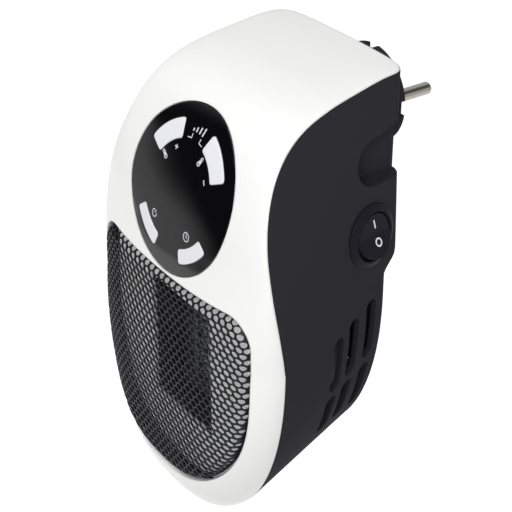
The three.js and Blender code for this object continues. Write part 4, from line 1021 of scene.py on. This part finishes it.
def combined(nodes, links, operation, first, second):
    """The larger or the smaller of two values."""
    node = nodes.new("ShaderNodeMath")
    node.operation = operation
    links.new(first, node.inputs[0])
    links.new(second, node.inputs[1])
    return node.outputs["Value"]


def seen_rays(nodes, links, kinds):
    """One for the kinds of rays named and zero for the rest."""
    path = nodes.new("ShaderNodeLightPath")
    last = path.outputs[kinds[0]]
    for kind in kinds[1:]:
        last = combined(nodes, links, "MAXIMUM", last, path.outputs[kind])
    return last


floor_points = [(x, y, FLOOR_LEVEL) for r in FLOOR_RADII for x, y in circle(r, SIDES)]
floor = new_object("floor", floor_points, ring_faces(len(FLOOR_RADII), SIDES)
                   + [tuple(range(len(floor_points) - SIDES, len(floor_points)))])
floor_look = bpy.data.materials.new("pale floor")
floor_look.use_nodes = True
nodes, links = floor_look.node_tree.nodes, floor_look.node_tree.links
shader = nodes["Principled BSDF"]
shader.inputs["Base Color"].default_value = (0.5, 0.5, 0.5, 1)
shader.inputs["Roughness"].default_value = 0.9
shader.inputs["Emission Color"].default_value = (0.8, 0.8, 0.8, 1)
links.new(seen_rays(nodes, links, ("Is Camera Ray", "Is Glossy Ray", "Is Transmission Ray")),
          shader.inputs["Emission Strength"])
floor.data.materials.append(floor_look)

world = bpy.data.worlds.new("studio")
bpy.context.scene.world = world
world.use_nodes = True
nodes, links = world.node_tree.nodes, world.node_tree.links
# Mirror-like finishes see a pale room that is dark towards the front, where the photographer stands
place = nodes.new("ShaderNodeTexCoord")


def glow(way, start, end, low, high):
    """A brightness that goes smoothly from low to high as the view direction nears a way."""
    facing = nodes.new("ShaderNodeVectorMath")
    facing.operation = "DOT_PRODUCT"
    facing.inputs[1].default_value = Vector(way).normalized()
    links.new(place.outputs["Generated"], facing.inputs[0])
    span = nodes.new("ShaderNodeMapRange")
    span.interpolation_type = "SMOOTHSTEP"
    for key, value in (("From Min", start), ("From Max", end), ("To Min", low), ("To Max", high)):
        span.inputs[key].default_value = value
    links.new(facing.outputs["Value"], span.inputs["Value"])
    return span.outputs["Result"]


# The dark front, a grey wall low on the left that the panel mirrors, and two dark patches
room_light = combined(nodes, links, "MAXIMUM", glow((-0.45, -0.85, 0.1), 0.66, 0.88, ROOM_LEVEL, 0.04),
                      glow((-1, 0, -0.45), 0.68, 0.79, 0.04, 0.64))
for way in ((0.7, -0.49, 0.51), (0.45, 0.61, 0.65)):
    room_light = combined(nodes, links, "MINIMUM", room_light, glow(way, 0.86, 0.97, ROOM_LEVEL, SHADE_LEVEL))
glossy = nodes.new("ShaderNodeMix")
glossy.inputs["A"].default_value = EVEN_LEVEL
links.new(seen_rays(nodes, links, ("Is Glossy Ray",)), glossy.inputs["Factor"])
links.new(room_light, glossy.inputs["B"])
seen = nodes.new("ShaderNodeMix")
seen.inputs["B"].default_value = 1.0
links.new(seen_rays(nodes, links, ("Is Camera Ray", "Is Transmission Ray")), seen.inputs["Factor"])
links.new(glossy.outputs["Result"], seen.inputs["A"])
nodes["Background"].inputs["Color"].default_value = (1, 1, 1, 1)
links.new(seen.outputs["Result"], nodes["Background"].inputs["Strength"])


def lamp(name, at, target, size, power):
    """A square soft light that faces a point; millimetres and watts."""
    data = bpy.data.lights.new(name, "AREA")
    data.shape = "SQUARE"
    data.size = size * MM
    data.energy = power
    obj = bpy.data.objects.new(name, data)
    obj.location = Vector(at) * MM
    obj.rotation_euler = (Vector(target) - Vector(at)).to_track_quat("-Z", "Y").to_euler()
    bpy.context.scene.collection.objects.link(obj)


MIDDLE = (0, -50, -60)
lamp("key", (-400, -750, 800), MIDDLE, 700, 3.9)
lamp("fill", (560, -520, 360), MIDDLE, 350, 3.7)

# The camera's place in millimetres, its focal length and picture size in pixels and its sensor in millimetres
CAMERA_AT, AZIMUTH, PITCH = (361.83, -306.17, 212.18), math.radians(55), math.radians(31)
FOCAL, PICTURE, SENSOR = 1388, 512, 36
back = Vector((math.sin(AZIMUTH) * math.cos(PITCH), -math.cos(AZIMUTH) * math.cos(PITCH), math.sin(PITCH)))
right = Vector((math.cos(AZIMUTH), math.sin(AZIMUTH), 0))
camera_data = bpy.data.cameras.new("camera")
camera_data.sensor_width = SENSOR
camera_data.lens = FOCAL / PICTURE * SENSOR
camera_data.clip_start = 0.01
camera = bpy.data.objects.new("camera", camera_data)
turn = Matrix((right, back.cross(right), back)).transposed().to_4x4()
camera.matrix_world = Matrix.Translation(Vector(CAMERA_AT) * MM) @ turn
bpy.context.scene.collection.objects.link(camera)
bpy.context.scene.camera = camera
bpy.context.scene.view_settings.view_transform = "Standard"
